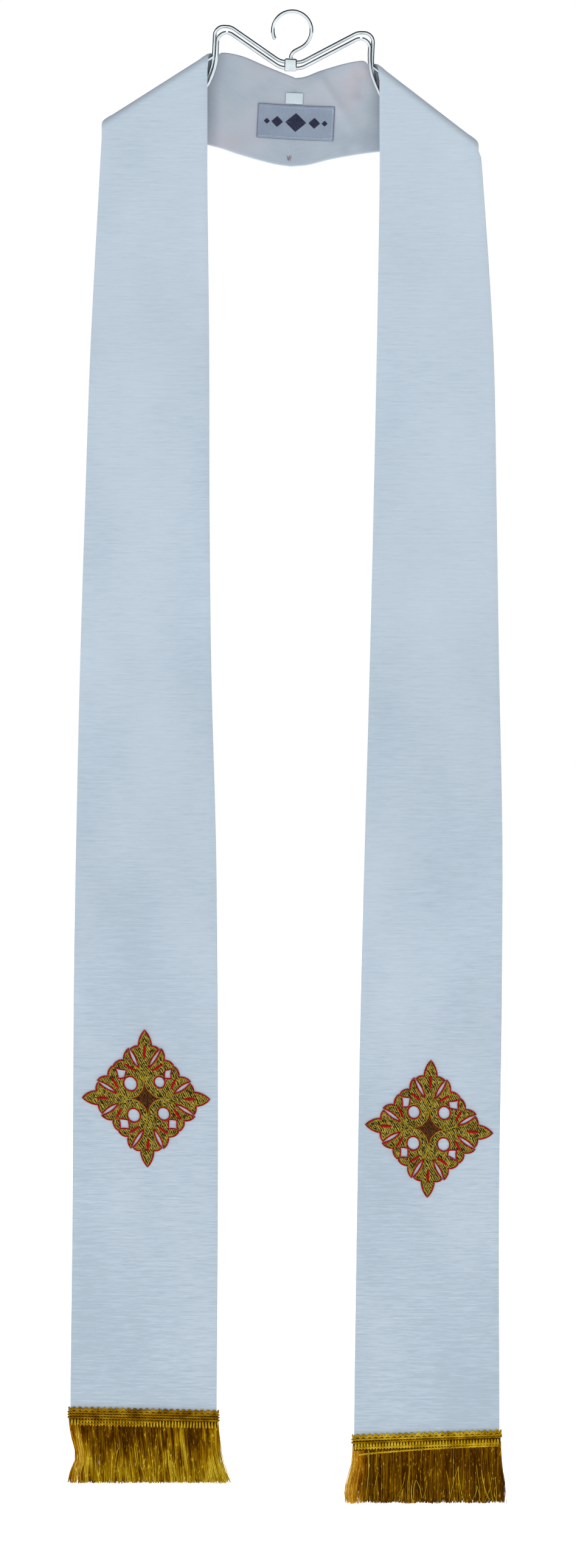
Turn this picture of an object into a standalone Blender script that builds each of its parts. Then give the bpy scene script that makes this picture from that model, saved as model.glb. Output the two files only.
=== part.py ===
"""A clergy stole hanging on a chrome wire hanger.

The stole is two long halves joined at the centre back. Each half is one length of
face cloth with a lining behind it: it hangs down the front, folds over the hanger's
sloping arm and runs back to the seam behind the neck. The front with its fold and
the back of the neck are separate solids, parted by a hair's breadth behind the fold.
Left and right are as seen from the front.

Frame: +X to the viewer's right, +Y away from the viewer, +Z up. The origin is the
inside top of the hook, where a rail carries it. Sizes are in millimetres until
to_metres scales them.
"""

import math

import bmesh
import bpy
from mathutils import Matrix, Vector

MILLIMETRE = 0.001

# Layers of cloth, measured outwards from the middle of a fold.
GAP = 0.3
LINING_INNER = 4.0
LINING_THICKNESS = 1.0
FACE_THICKNESS = 1.2
LINING_OUTER = LINING_INNER + LINING_THICKNESS
FACE_INNER = LINING_OUTER + GAP
FACE_OUTER = FACE_INNER + FACE_THICKNESS
LINING_INSET = 1.6

# The hanger, symmetrical in its own frame and hung a little askew.
HANGER_TILT = math.radians(2.6)
ARM_SLOPE = math.radians(35.0)
RIDGE_APEX_RISE = 12.0
WIRE_RADIUS = 1.7
WIRE_CLEARANCE = 0.3
WIRE_SIDES = 8
HOOK_RADIUS = 17.0
HOOK_START = -60.0
HOOK_END = 205.0
HOOK_STEM_BEND = 7.5
HOOK_FOOT = -39.8
NECK_WIRE_FRONT_X = 67.1
NECK_WIRE_BACK_X = 69.7
NECK_WIRE_LEANS_RIGHT = 1.85
NECK_WIRE_FRONT_Y = -2.0
NECK_WIRE_BACK_Y = 0.6
BRIDGE_FRONT_DIP = -48.5
BRIDGE_BACK_DIP = -43.0
HUMP_FRONT_TOP = -20.0
HUMP_BACK_TOP = -14.5
HUMP_INNER_X = 56.0
ARM_TIP_X = 152.0
ARM_TIP_Z = -100.0

# Where each half folds over its arm: the distance across from the origin to the
# neck point and to the shoulder corner, along the ridge of the fold.
FOLDS = {
    "left": {"side": -1, "neck_x": 73.5, "shoulder_x": 167.3},
    "right": {"side": 1, "neck_x": 73.9, "shoulder_x": 162.2},
}

# Front panels: the edges' distance across from the origin at each drop.
FRONT_COLUMNS = ("drop", "left_inner", "left_outer", "right_inner", "right_outer")
FRONT_EDGES = (
    (105.0, 75.2, 168.0, 76.0, 163.0),
    (150.0, 75.3, 170.5, 76.2, 167.3),
    (294.0, 73.7, 178.1, 73.8, 176.3),
    (439.0, 73.4, 183.1, 70.8, 179.3),
    (583.0, 71.8, 187.6, 67.3, 181.5),
    (727.0, 67.8, 190.8, 63.3, 184.1),
    (872.0, 66.2, 193.0, 59.5, 183.7),
    (1038.0, 66.0, 193.8, 56.6, 181.3),
    (1210.0, 67.0, 195.7, 54.1, 181.5),
    (1290.0, 67.0, 195.7, 53.6, 181.5),
)

# Neck edges of the back, from the fold to the centre seam, as (x, z).
NECK_TOP = {
    "left": ((-44.3, -39.4), (-17.0, -50.6)),
    "right": ((55.7, -44.2), (33.3, -49.5), (12.4, -57.4)),
}
NECK_BOTTOM = {
    "left": ((-75.3, -116.1), (-48.3, -124.6), (-18.6, -132.3)),
    "right": ((74.5, -121.8), (33.3, -128.7), (14.0, -133.6)),
}
SEAM_TOP = (1.7, -58.9)
SEAM_BOTTOM = (-2.0, -134.8)

# How far the back of the neck stands behind the hanger, and its broad folds.
NECK_BOW = 13.0
NECK_BOW_HALF_WIDTH = 72.0
FOLD_COLUMNS = ("x0", "z0", "x1", "z1", "half_width", "depth")
NECK_FOLDS = (
    (46.0, -58.0, 62.0, -104.0, 11.0, 1.5),
    (-54.0, -56.0, -44.0, -108.0, 12.0, 1.0),
)

# Hems: the drop of the braid's top edge at the inner and outer end, and of the
# strands' tips, with how far the strands swing out at each end.
HEMS = {
    "left": {"inner": 1229.6, "outer": 1226.5, "tips": 1290.5, "swing_in": 8.0, "swing_out": 1.0},
    "right": {"inner": 1250.9, "outer": 1246.8, "tips": 1309.5, "swing_in": 6.5, "swing_out": 3.0},
}
BRAID_HEIGHT = 16.0
HEM_ABOVE_BRAID_FOOT = 2.0
BRAID_CORD_THICKNESS = 2.8
BRAID_FOOT_THICKNESS = 2.0
BRAID_RETURN = 9.0
SCALLOPS = 24
SCALLOP_RISE = 1.4
STRAND_COLUMNS = 48
STRAND_PARTING = 0.22

# The embroidered leaf cross: its centre, how far it leans clockwise, and its size.
EMBLEMS = {
    "left": {"x": -129.2, "drop": 954.4, "lean": 0.5},
    "right": {"x": 119.7, "drop": 981.1, "lean": 2.5},
}
EMBLEM_HEIGHT = 120.0
EMBLEM_WIDTH = 112.0
EMBLEM_THICKNESS = 1.0
EMBLEM_STILL_HALF = 66.0

# Labels on the lining at the centre back.
LABEL_SIZE = (67.0, 30.0)
LABEL_CENTRE = (2.4, -96.5)
LABEL_THICKNESS = 0.6
CARE_SIZE = (15.0, 9.5)
CARE_CENTRE = (1.2, -75.2)
CARE_THICKNESS = 0.5
LABEL_LEAN = math.radians(3.0)
LABEL_CLEARANCE = 0.6

# How finely the solids are cut.
CLOTH_COLUMNS = 6
ROLL_STEPS = 8
NECK_ROWS = 10
FRONT_ROW_PITCH = 56.0
ROWS_SQUARE_DROP = 270.0

MATERIALS = {
    "face_cloth": ((0.50, 0.60, 0.69), 0.62, 0.0),
    "lining_cloth": ((0.46, 0.50, 0.56), 0.50, 0.0),
    "gold_fringe": ((0.28, 0.17, 0.02), 0.40, 0.0),
    "gold_embroidery": ((0.22, 0.15, 0.03), 0.45, 0.0),
    "label_cloth": ((0.25, 0.33, 0.44), 0.60, 0.0),
    "care_cloth": ((0.62, 0.68, 0.70), 0.50, 0.0),
    "chrome_wire": ((0.62, 0.64, 0.66), 0.15, 1.0),
}


def clear_scene():
    for item in list(bpy.data.objects):
        bpy.data.objects.remove(item)


def material(name):
    found = bpy.data.materials.get(name)
    if found:
        return found
    colour, roughness, metallic = MATERIALS[name]
    made = bpy.data.materials.new(name)
    made.use_nodes = True
    shader = made.node_tree.nodes["Principled BSDF"]
    shader.inputs["Base Color"].default_value = (*colour, 1.0)
    shader.inputs["Roughness"].default_value = roughness
    shader.inputs["Metallic"].default_value = metallic
    return made


def to_metres(point):
    return Vector(point) * MILLIMETRE


def add_object(name, data, material_name):
    made = bpy.data.objects.new(name, data)
    data.materials.append(material(material_name))
    bpy.context.scene.collection.objects.link(made)
    return made


def mesh_object(name, shape, material_name):
    bmesh.ops.recalc_face_normals(shape, faces=shape.faces)
    data = bpy.data.meshes.new(name)
    shape.to_mesh(data)
    shape.free()
    made = add_object(name, data, material_name)
    data.shade_smooth()
    data.set_sharp_from_angle(angle=math.radians(40))
    return made


def smooth_step(value, low, high):
    share = min(1.0, max(0.0, (value - low) / (high - low)))
    return share * share * (3.0 - 2.0 * share)


def along(points, share):
    """The point at that share of a line through a few points."""
    points = [Vector(p) for p in points]
    lengths = [(b - a).length for a, b in zip(points, points[1:])]
    target = share * sum(lengths)
    for start, end, length in zip(points, points[1:], lengths):
        if target <= length:
            return start.lerp(end, target / length)
        target -= length
    return points[-1]


def smooth_line(points, steps=8):
    """A Catmull-Rom curve through the points, as a finer line."""
    points = [Vector(p) for p in points]
    ends = [2 * points[0] - points[1], *points, 2 * points[-1] - points[-2]]
    line = []
    for before, start, end, after in zip(ends, ends[1:], ends[2:], ends[3:]):
        for step in range(steps):
            t = step / steps
            line.append(
                0.5
                * (
                    2 * start
                    + (end - before) * t
                    + (2 * before - 5 * start + 4 * end - after) * t * t
                    + (3 * start - before - 3 * end + after) * t**3
                )
            )
    return [*line, points[-1]]


def hang(across, up, depth=0.0):
    """A point of the hanger's own frame, turned with the hanger."""
    turn = Matrix.Rotation(HANGER_TILT, 3, "Y")
    return turn @ Vector((across, depth, up))


def ridge(half):
    """Neck point, shoulder corner, direction outwards and direction up from the ridge."""
    fold = FOLDS[half]
    side = fold["side"]
    apex = hang(0.0, RIDGE_APEX_RISE)
    outwards = hang(side * math.cos(ARM_SLOPE), -math.sin(ARM_SLOPE))
    above = hang(side * math.sin(ARM_SLOPE), math.cos(ARM_SLOPE))
    reach = [(side * fold[key] - apex.x) / outwards.x for key in ("neck_x", "shoulder_x")]
    neck, shoulder = (apex + outwards * r for r in reach)
    return neck, shoulder, outwards, above


def front_edge(half, edge, drop):
    """How far across a front panel's edge lies at that drop."""
    column = FRONT_COLUMNS.index(f"{half}_{edge}")
    rows = [(row[0], row[column]) for row in FRONT_EDGES]
    line = smooth_line([(d, x, 0.0) for d, x in rows], steps=4)
    for low, high in zip(line, line[1:]):
        if low.x <= drop <= high.x:
            share = (drop - low.x) / (high.x - low.x)
            return FOLDS[half]["side"] * (low.y + (high.y - low.y) * share)
    nearest = line[0] if drop < line[0].x else line[-1]
    return FOLDS[half]["side"] * nearest.y


def front_sway(half, across, drop):
    """How far a front panel hangs behind its plane. The emblem and braid hold it flat."""
    emblem = EMBLEMS[half]["drop"]
    upper = smooth_step(drop, 180.0, 330.0) * (
        1.0 - smooth_step(drop, emblem - EMBLEM_STILL_HALF - 110.0, emblem - EMBLEM_STILL_HALF)
    )
    lower = smooth_step(drop, emblem + EMBLEM_STILL_HALF, emblem + EMBLEM_STILL_HALF + 50.0) * (
        1.0 - smooth_step(drop, HEMS[half]["outer"] - 60.0, HEMS[half]["outer"] - 6.0)
    )
    lean = 2.0 * across - 1.0
    phase = 0.6 if half == "left" else 2.4
    long_wave = 3.2 * math.sin(2 * math.pi * drop / 540.0 + phase)
    twist = 1.5 * lean * math.sin(2 * math.pi * drop / 350.0 + 2.0 * phase)
    crown = 1.8 * lean * lean
    return upper * (long_wave + twist + crown) + lower * (0.9 * crown + 0.5 * twist)


def neck_depth(x, z):
    """How far the back of the neck stands behind the fold's middle plane."""
    share = min(1.0, abs(x) / NECK_BOW_HALF_WIDTH)
    depth = NECK_BOW * math.cos(share * math.pi / 2) ** 2
    for x0, z0, x1, z1, half_width, fold_depth in NECK_FOLDS:
        start, run = Vector((x0, z0)), Vector((x1 - x0, z1 - z0))
        t = (Vector((x, z)) - start).dot(run) / run.length_squared
        off = (Vector((x, z)) - start - run * t).length / half_width
        ends = smooth_step(t, -0.3, 0.2) * (1.0 - smooth_step(t, 0.8, 1.3))
        depth += fold_depth * ends * math.exp(-off * off)
    return depth


def front_rows(half):
    """Rows from the hem up to the fold, as (inner end, outer end) in (x, drop)."""
    neck, shoulder = fold_row(half, 0.0)
    hem = HEMS[half]
    inner_top, outer_top = -neck.z, -shoulder.z
    inner_hem, outer_hem = (
        hem[end] + BRAID_HEIGHT - HEM_ABOVE_BRAID_FOOT for end in ("inner", "outer")
    )
    emblem = EMBLEMS[half]["drop"]
    braid = hem["inner"] - 5.0
    stops = [inner_hem, braid, emblem + EMBLEM_STILL_HALF, emblem - EMBLEM_STILL_HALF, inner_top]
    drops = []
    for low, high in zip(stops, stops[1:]):
        count = math.ceil((low - high) / FRONT_ROW_PITCH)
        drops += [low + (high - low) * index / count for index in range(count)]
    rows = []
    for inner in drops:
        slant = (outer_top - inner_top) * (1.0 - smooth_step(inner, inner_top, ROWS_SQUARE_DROP))
        square = smooth_step(inner, braid - 110.0, braid)
        outer = inner + slant + (outer_hem - inner_hem) * square
        rows.append(
            (
                (front_edge(half, "inner", inner), inner),
                (front_edge(half, "outer", outer), outer),
            )
        )
    return rows


def fold_row(half, angle):
    """The fold's axis between the panel's two edges, which slip along it as they turn."""
    neck, shoulder, outwards, above = ridge(half)
    middle = (LINING_INNER + FACE_OUTER) / 2
    slip = middle * (math.pi / 2 - angle) * abs(outwards.z / outwards.x)
    return [end - above * FACE_OUTER + outwards * slip for end in (neck, shoulder)]


def neck_rows(half):
    """Rows from the fold back to the centre seam, as pairs of (x, z)."""
    side = FOLDS[half]["side"]
    parted = ridge(half)[3] * GAP
    neck, shoulder = (end - parted for end in fold_row(half, math.pi))
    seam = side * GAP / 2
    top = [(neck.x, neck.z), *NECK_TOP[half], (SEAM_TOP[0] + seam, SEAM_TOP[1])]
    bottom = [(shoulder.x, shoulder.z), *NECK_BOTTOM[half], (SEAM_BOTTOM[0] + seam, SEAM_BOTTOM[1])]
    top, bottom = smooth_line(top), smooth_line(bottom)
    shares = [index / NECK_ROWS for index in range(NECK_ROWS + 1)]
    return [(along(top, share), along(bottom, share)) for share in shares]


def row_points(start, end, depth_at):
    """Points across the cloth between its two edges, each moved back by its own depth."""
    points = []
    for column in range(CLOTH_COLUMNS + 1):
        across = column / CLOTH_COLUMNS
        point = start.lerp(end, across)
        points.append(point + Vector((0, depth_at(point, across), 0)))
    return points


def front_stretch(half):
    """Rows of points with their outward normals, from the hem up and over the fold."""
    rows = []
    for (x0, drop0), (x1, drop1) in front_rows(half):
        ends = Vector((x0, 0, -drop0)), Vector((x1, 0, -drop1))
        points = row_points(*ends, lambda point, across: front_sway(half, across, -point.z))
        rows.append((points, Vector((0, -1, 0))))
    above = ridge(half)[3]
    for step in range(ROLL_STEPS + 1):
        angle = math.pi * step / ROLL_STEPS
        normal = Vector((0, -math.cos(angle), 0)) + above * math.sin(angle)
        rows.append((row_points(*fold_row(half, angle), lambda point, across: 0.0), normal))
    return rows


def back_stretch(half):
    """Rows of points with their outward normals, from behind the fold to the centre seam."""
    rows = []
    for top, bottom in neck_rows(half):
        ends = Vector((top.x, 0, top.y)), Vector((bottom.x, 0, bottom.y))
        points = row_points(*ends, lambda point, across: neck_depth(point.x, point.z))
        rows.append((points, Vector((0, 1, 0))))
    return rows


def wall_sections(rows, inner_offset, outer_offset, inset):
    """Each row as an outer and an inner line, with both edges turned in by the inset."""
    sections = []
    for points, normal in rows:
        turned_in = inset / (points[-1] - points[0]).length * CLOTH_COLUMNS
        first = points[0].lerp(points[1], turned_in)
        last = points[-1].lerp(points[-2], turned_in)
        line = [first, *points[1:-1], last]
        sections.append([[p + normal * offset for p in line] for offset in (outer_offset, inner_offset)])
    return sections


def lofted_wall(name, sections, material_name):
    """A closed wall through sections, each a row of outer and a row of inner points."""
    shape = bmesh.new()
    rings = []
    for outer, inner in sections:
        ring = [*outer, *reversed(inner)]
        rings.append([shape.verts.new(to_metres(point)) for point in ring])
    size = len(rings[0])
    for ring, following in zip(rings, rings[1:]):
        for index in range(size):
            after = (index + 1) % size
            corners = [ring[index], ring[after], following[after], following[index]]
            # Both walls are cut along the same diagonal, so that layers stay parallel.
            if index >= size // 2:
                corners = [corners[3], *corners[:3]]
            shape.faces.new(corners)
    for ring in (rings[0], rings[-1]):
        for index in range(size // 2 - 1):
            across = size - 1 - index
            shape.faces.new((ring[index], ring[index + 1], ring[across - 1], ring[across]))
    return mesh_object(name, shape, material_name)


def make_cloth(half):
    for stretch, rows in (("", front_stretch(half)), ("back_", back_stretch(half))):
        face = wall_sections(rows, FACE_INNER, FACE_OUTER, 0.0)
        lining = wall_sections(rows, LINING_INNER, LINING_OUTER, LINING_INSET)
        lofted_wall(f"{stretch}face_{half}", face, "face_cloth")
        lofted_wall(f"{stretch}lining_{half}", lining, "lining_cloth")


def braid_stations(half):
    """The braid's way round the hem, seen from above: place, outward normal and share."""
    hem = HEMS[half]
    side = FOLDS[half]["side"]
    inner = front_edge(half, "inner", hem["inner"]) - side * GAP
    outer = front_edge(half, "outer", hem["outer"]) + side * GAP
    low, high = sorted((inner, outer))
    front, back = -FACE_OUTER - GAP, -LINING_INNER + GAP
    stations = [(low + BRAID_RETURN, back, (0, 1)), (low, back, (-0.7, 0.7))]
    for index in range(STRAND_COLUMNS + 1):
        lean = -0.7 if index == 0 else 0.7 if index == STRAND_COLUMNS else 0.0
        x = low + (high - low) * index / STRAND_COLUMNS
        stations.append((x, front, (lean, -1.0)))
    stations += [(high, back, (0.7, 0.7)), (high - BRAID_RETURN, back, (0, 1))]
    return stations, low, high


def braid_top(half, share):
    """Height of the braid's straight top edge, by the share of the way to the right."""
    hem = HEMS[half]
    ends = (hem["outer"], hem["inner"]) if half == "left" else (hem["inner"], hem["outer"])
    return -(ends[0] + (ends[1] - ends[0]) * share)


def make_fringe(half):
    """Braid heading and strands in one solid: the strands grow out of its foot."""
    stations, low, high = braid_stations(half)
    shape = bmesh.new()
    # Each ring runs (standing out, drop): back top, picot, upper cord, lower cord, foot.
    profile = (
        (0.0, 0.8),
        (1.2, 0.0),
        (BRAID_CORD_THICKNESS, 2.6),
        (BRAID_CORD_THICKNESS, 9.0),
        (BRAID_FOOT_THICKNESS, 11.0),
        (BRAID_FOOT_THICKNESS, BRAID_HEIGHT),
        (BRAID_FOOT_THICKNESS / 2, BRAID_HEIGHT),
        (0.0, BRAID_HEIGHT),
    )
    rings = []
    for index, (x, y, normal) in enumerate(stations):
        share = min(1.0, max(0.0, (x - low) / (high - low)))
        top = braid_top(half, share)
        scallop = SCALLOP_RISE if index % (STRAND_COLUMNS // SCALLOPS) else 0.0
        ring = []
        for level, (out, drop) in enumerate(profile):
            rise = scallop if level < 2 else 0.0
            ring.append(
                shape.verts.new(
                    to_metres((x + normal[0] * out, y + normal[1] * out, top - drop + rise))
                )
            )
        rings.append(ring)
    size = len(profile)
    feet = []
    for number, (ring, following) in enumerate(zip(rings, rings[1:])):
        for level in range(size):
            after = (level + 1) % size
            face = shape.faces.new((ring[level], ring[after], following[after], following[level]))
            on_front = 2 <= number < 2 + STRAND_COLUMNS
            if on_front and level in (5, 6):
                feet.append(face)
    shape.faces.new(rings[0])
    shape.faces.new(rings[-1])
    bmesh.ops.recalc_face_normals(shape, faces=shape.faces)
    grow_strands(half, shape, feet, low, high)
    return mesh_object(f"fringe_{half}", shape, "gold_fringe")


def grow_strands(half, shape, feet, low, high):
    """Insets each cell of the braid's foot and draws it down into one strand."""
    hem = HEMS[half]
    swing = (hem["swing_out"], hem["swing_in"]) if half == "left" else (hem["swing_in"], hem["swing_out"])
    bmesh.ops.inset_individual(
        shape, faces=feet, thickness=STRAND_PARTING * MILLIMETRE, use_even_offset=True
    )
    for number, face in enumerate(feet):
        centre = face.calc_center_median()
        share = (centre.x / MILLIMETRE - low) / (high - low)
        drift = swing[1] * share**8 - swing[0] * (1 - share) ** 8
        sway = 0.5 * math.sin(2.4 * number) + 0.7 * math.sin(0.37 * number)
        tip = -hem["tips"] * MILLIMETRE
        root = centre.z
        for reach, bend in ((0.45, 0.18), (1.0, 1.0)):
            made = bmesh.ops.extrude_discrete_faces(shape, faces=[face])
            face = made["faces"][0]
            place = face.calc_center_median()
            target = Vector(
                (
                    centre.x + (drift + sway) * bend * MILLIMETRE,
                    centre.y,
                    root + (tip - root) * reach,
                )
            )
            bmesh.ops.translate(shape, verts=face.verts, vec=target - place)


def mirrored_eighth(eighth):
    """A whole outline from its eighth, which runs from an arm's tip to the diagonal."""
    quarter = list(eighth) + [(y, x) for x, y in reversed(eighth[:-1])]
    outline = []
    for turn in range(4):
        for x, y in quarter[:-1]:
            for _ in range(turn):
                x, y = y, -x
            outline.append((x, y))
    return outline


def arc_between(start, end, bulge, steps):
    """Points of a shallow arc, with bulge as its height over its chord, to the left."""
    start, end = Vector(start), Vector(end)
    chord = end - start
    side = Vector((-chord.y, chord.x))
    line = []
    for step in range(steps):
        t = step / steps
        line.append(tuple(start + chord * t + side * bulge * 4 * t * (1 - t)))
    return line


def emblem_outlines():
    """The leaf cross as closed lines: the outline first, then every gap through it."""
    half = EMBLEM_HEIGHT / 2
    tip, waist, leaf_point = (0.0, half), (5.9, half - 14.2), (13.0, half - 17.0)
    cleft, side_point, notch = (14.5, half - 18.8), (16.6, half - 17.6), (19.0, half - 25.8)
    corner = (29.2, 29.2)
    eighth = [
        *arc_between(tip, waist, 0.09, 3),
        *arc_between(waist, leaf_point, 0.10, 2),
        leaf_point,
        cleft,
        *arc_between(side_point, notch, 0.16, 3),
        *arc_between(notch, corner, 0.17, 4),
        corner,
    ]
    lines = [mirrored_eighth(eighth)]
    hole = [(13.3 + 5.6 * math.cos(a), 13.3 + 5.6 * math.sin(a)) for a in full_turn(14)]
    window = [(26.8, 26.8), (20.3, 24.9), (19.6, 19.6), (24.9, 20.3)]
    root, mouth = (5.6, 27.2), (13.2, 39.6)
    slit = [*arc_between(root, mouth, 0.09, 4), *arc_between(mouth, root, 0.09, 4)]
    for turn in range(4):
        for gap in (hole, window, slit, [(y, x) for x, y in slit]):
            turned = gap
            for _ in range(turn):
                turned = [(y, -x) for x, y in turned]
            lines.append(turned)
    return lines


def full_turn(steps):
    return [2 * math.pi * step / steps for step in range(steps)]


def make_emblem(half):
    place = EMBLEMS[half]
    data = bpy.data.curves.new(f"emblem_{half}", "CURVE")
    data.dimensions = "2D"
    data.fill_mode = "BOTH"
    data.extrude = EMBLEM_THICKNESS / 2 * MILLIMETRE
    for line in emblem_outlines():
        spline = data.splines.new("POLY")
        spline.points.add(len(line) - 1)
        spline.use_cyclic_u = True
        for point, (x, y) in zip(spline.points, line):
            across = x * EMBLEM_WIDTH / EMBLEM_HEIGHT
            point.co = (*to_metres((across, y, 0.0)), 1.0)
    made = add_object(f"emblem_{half}", data, "gold_embroidery")
    surface = -FACE_OUTER - GAP - EMBLEM_THICKNESS / 2
    made.location = to_metres((place["x"], surface, -place["drop"]))
    made.rotation_euler = (math.pi / 2, math.radians(place["lean"]), 0.0)
    return made


def make_label(name, size, centre, thickness, columns, rows, material_name):
    """A label that follows the lining behind it, moved out from the lining's own depth."""
    turn = Matrix.Rotation(-LABEL_LEAN, 2)
    sections = []
    for row in range(rows + 1):
        walls = [[], []]
        for column in range(columns + 1):
            flat = Vector(((column / columns - 0.5) * size[0], (row / rows - 0.5) * size[1]))
            x, z = Vector(centre) + turn @ flat
            back = neck_depth(x, z) + LINING_INNER - LABEL_CLEARANCE
            walls[0].append(Vector((x, back - thickness, z)))
            walls[1].append(Vector((x, back, z)))
        sections.append(walls)
    return lofted_wall(name, sections, material_name)


def filleted(corners, arc_steps=5):
    """A line through corners, each (across, up, depth, radius), with rounded bends."""
    line = [Vector(corners[0][:3])]
    for before, corner, after in zip(corners, corners[1:], corners[2:]):
        place = Vector(corner[:3])
        back, forward = Vector(before[:3]) - place, Vector(after[:3]) - place
        turning = math.pi - back.angle(forward)
        if turning < math.radians(2) or corner[3] <= 0:
            line.append(place)
            continue
        tangent = corner[3] * math.tan(turning / 2)
        start = place + back.normalized() * tangent
        end = place + forward.normalized() * tangent
        bisector = (back.normalized() + forward.normalized()).normalized()
        centre = place + bisector * (corner[3] / math.cos(turning / 2))
        steps = max(2, round(arc_steps * turning / (math.pi / 2)))
        first, last = start - centre, end - centre
        for step in range(steps + 1):
            line.append(centre + first.slerp(last, step / steps) * corner[3])
    line.append(Vector(corners[-1][:3]))
    return line


def wire_curve(name, line, closed):
    data = bpy.data.curves.new(name, "CURVE")
    data.dimensions = "3D"
    data.bevel_depth = WIRE_RADIUS * MILLIMETRE
    data.bevel_resolution = (WIRE_SIDES - 4) // 2
    data.use_fill_caps = True
    data.twist_mode = "MINIMUM"
    spline = data.splines.new("POLY")
    points = [hang(p.x, p.y, p.z) for p in line]
    spline.points.add(len(points) - 1)
    spline.use_cyclic_u = closed
    for target, point in zip(spline.points, points):
        target.co = (*to_metres(point), 1.0)
    made = add_object(name, data, "chrome_wire")
    bpy.context.view_layer.update()
    mesh = bpy.data.meshes.new_from_object(made.evaluated_get(bpy.context.evaluated_depsgraph_get()))
    bpy.data.objects.remove(made)
    bpy.data.curves.remove(data)
    mesh.materials.clear()
    made = add_object(name, mesh, "chrome_wire")
    shape = bmesh.new()
    shape.from_mesh(mesh)
    bmesh.ops.remove_doubles(shape, verts=shape.verts, dist=0.00001)
    bmesh.ops.recalc_face_normals(shape, faces=shape.faces)
    shape.to_mesh(mesh)
    shape.free()
    return made


def arm_line_height(across):
    """Height of the carrying wire's centre, just under the cloth's fold."""
    below_ridge = FACE_OUTER - LINING_INNER + WIRE_RADIUS + WIRE_CLEARANCE
    return RIDGE_APEX_RISE - below_ridge / math.cos(ARM_SLOPE) - across * math.tan(ARM_SLOPE)


def half_frame_corners(lean):
    """Half of the wire loop, from the back bridge down to the arm's tip and up to the front."""
    front, back = NECK_WIRE_FRONT_Y, NECK_WIRE_BACK_Y
    front_x, back_x = NECK_WIRE_FRONT_X + lean, NECK_WIRE_BACK_X + lean
    hump_x = HUMP_INNER_X + lean
    return [
        (0.0, BRIDGE_BACK_DIP, back, 0.0),
        (9.0, BRIDGE_BACK_DIP, back, 16.0),
        (hump_x, HUMP_BACK_TOP, back, 12.0),
        (back_x, HUMP_BACK_TOP, back, 8.0),
        (back_x, -50.0, back, 56.0),
        (back_x + 11.3, -74.0, back, 56.0),
        (119.0, -94.0, 0.3, 60.0),
        (ARM_TIP_X, ARM_TIP_Z, 0.0, 4.0),
        (ARM_TIP_X - 4.0, ARM_TIP_Z - 8.5, 0.0, 4.0),
        (108.0, -102.0, -1.0, 42.0),
        (front_x + 11.4, -76.0, front, 58.0),
        (front_x, -52.0, front, 58.0),
        (front_x, HUMP_FRONT_TOP, front, 8.0),
        (hump_x + 0.5, HUMP_FRONT_TOP, front, 10.0),
        (9.0, BRIDGE_FRONT_DIP, front, 16.0),
        (0.0, BRIDGE_FRONT_DIP, front, 0.0),
    ]


def carrying_rod(side, lean):
    """The straight rod under a fold, welded to the back neck wire and the arm's tip."""
    start = NECK_WIRE_BACK_X + lean + 0.4
    stations = ((start, 0.3), (start + 9.0, 0.0), (ARM_TIP_X - 1.5, 0.0))
    line = [Vector((side * x, arm_line_height(x), depth)) for x, depth in stations]
    return wire_curve(f"rod_{'left' if side < 0 else 'right'}_cutter", line, closed=False)


def make_hanger():
    """A doubled wire frame with its two carrying rods and the block that clamps its bridge."""
    lean = NECK_WIRE_LEANS_RIGHT
    right = filleted(half_frame_corners(lean))
    left = [Vector((-p.x, p.y, p.z)) for p in reversed(filleted(half_frame_corners(-lean)))]
    loop = [*right, *left[1:-1]]
    frame = wire_curve("hanger_frame", loop, closed=True)
    for tool in (carrying_rod(1, lean), carrying_rod(-1, -lean), make_clamp()):
        joined = frame.modifiers.new("weld", "BOOLEAN")
        joined.operation = "UNION"
        joined.object = tool
        tool.hide_render = True
        tool.display_type = "WIRE"


def make_hook():
    """The hook, which stands on the clamp and opens to the left."""
    centre_z = WIRE_RADIUS - HOOK_RADIUS
    start = math.radians(HOOK_START)
    circle = [start + (math.radians(HOOK_END) - start) * step / 18 for step in range(19)]
    arc = [Vector((HOOK_RADIUS * math.cos(a), centre_z + HOOK_RADIUS * math.sin(a), 0.0)) for a in circle]
    meets_axis = arc[0].y - arc[0].x * math.tan(start + math.pi / 2)
    stem = filleted(
        [
            (0.0, HOOK_FOOT, 0.0, 0.0),
            (0.0, meets_axis, 0.0, HOOK_STEM_BEND),
            (arc[0].x, arc[0].y, 0.0, 0.0),
        ]
    )
    wire_curve("hanger_hook", [*stem[:-1], *arc], closed=False)


def make_clamp():
    """The pressed ferrule that holds the two bridge wires and the hook's foot."""
    shape = bmesh.new()
    bmesh.ops.create_cube(shape, size=1.0)
    height = BRIDGE_BACK_DIP - BRIDGE_FRONT_DIP + 2 * WIRE_RADIUS + 2.4
    middle = hang(0.0, (BRIDGE_BACK_DIP + BRIDGE_FRONT_DIP) / 2)
    bmesh.ops.scale(shape, verts=shape.verts, vec=to_metres((11.0, 8.6, height)))
    bmesh.ops.bevel(
        shape, geom=shape.edges[:], offset=1.5 * MILLIMETRE, segments=2, profile=0.5, affect="EDGES"
    )
    bmesh.ops.rotate(shape, verts=shape.verts, matrix=Matrix.Rotation(HANGER_TILT, 3, "Y"))
    bmesh.ops.translate(shape, verts=shape.verts, vec=to_metres(middle))
    return mesh_object("clamp_block", shape, "chrome_wire")


def main():
    clear_scene()
    for half in FOLDS:
        make_cloth(half)
        make_fringe(half)
        make_emblem(half)
    make_label("neck_label", LABEL_SIZE, LABEL_CENTRE, LABEL_THICKNESS, 12, 4, "label_cloth")
    make_label("care_label", CARE_SIZE, CARE_CENTRE, CARE_THICKNESS, 4, 2, "care_cloth")
    make_hanger()
    make_hook()


main()
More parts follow.
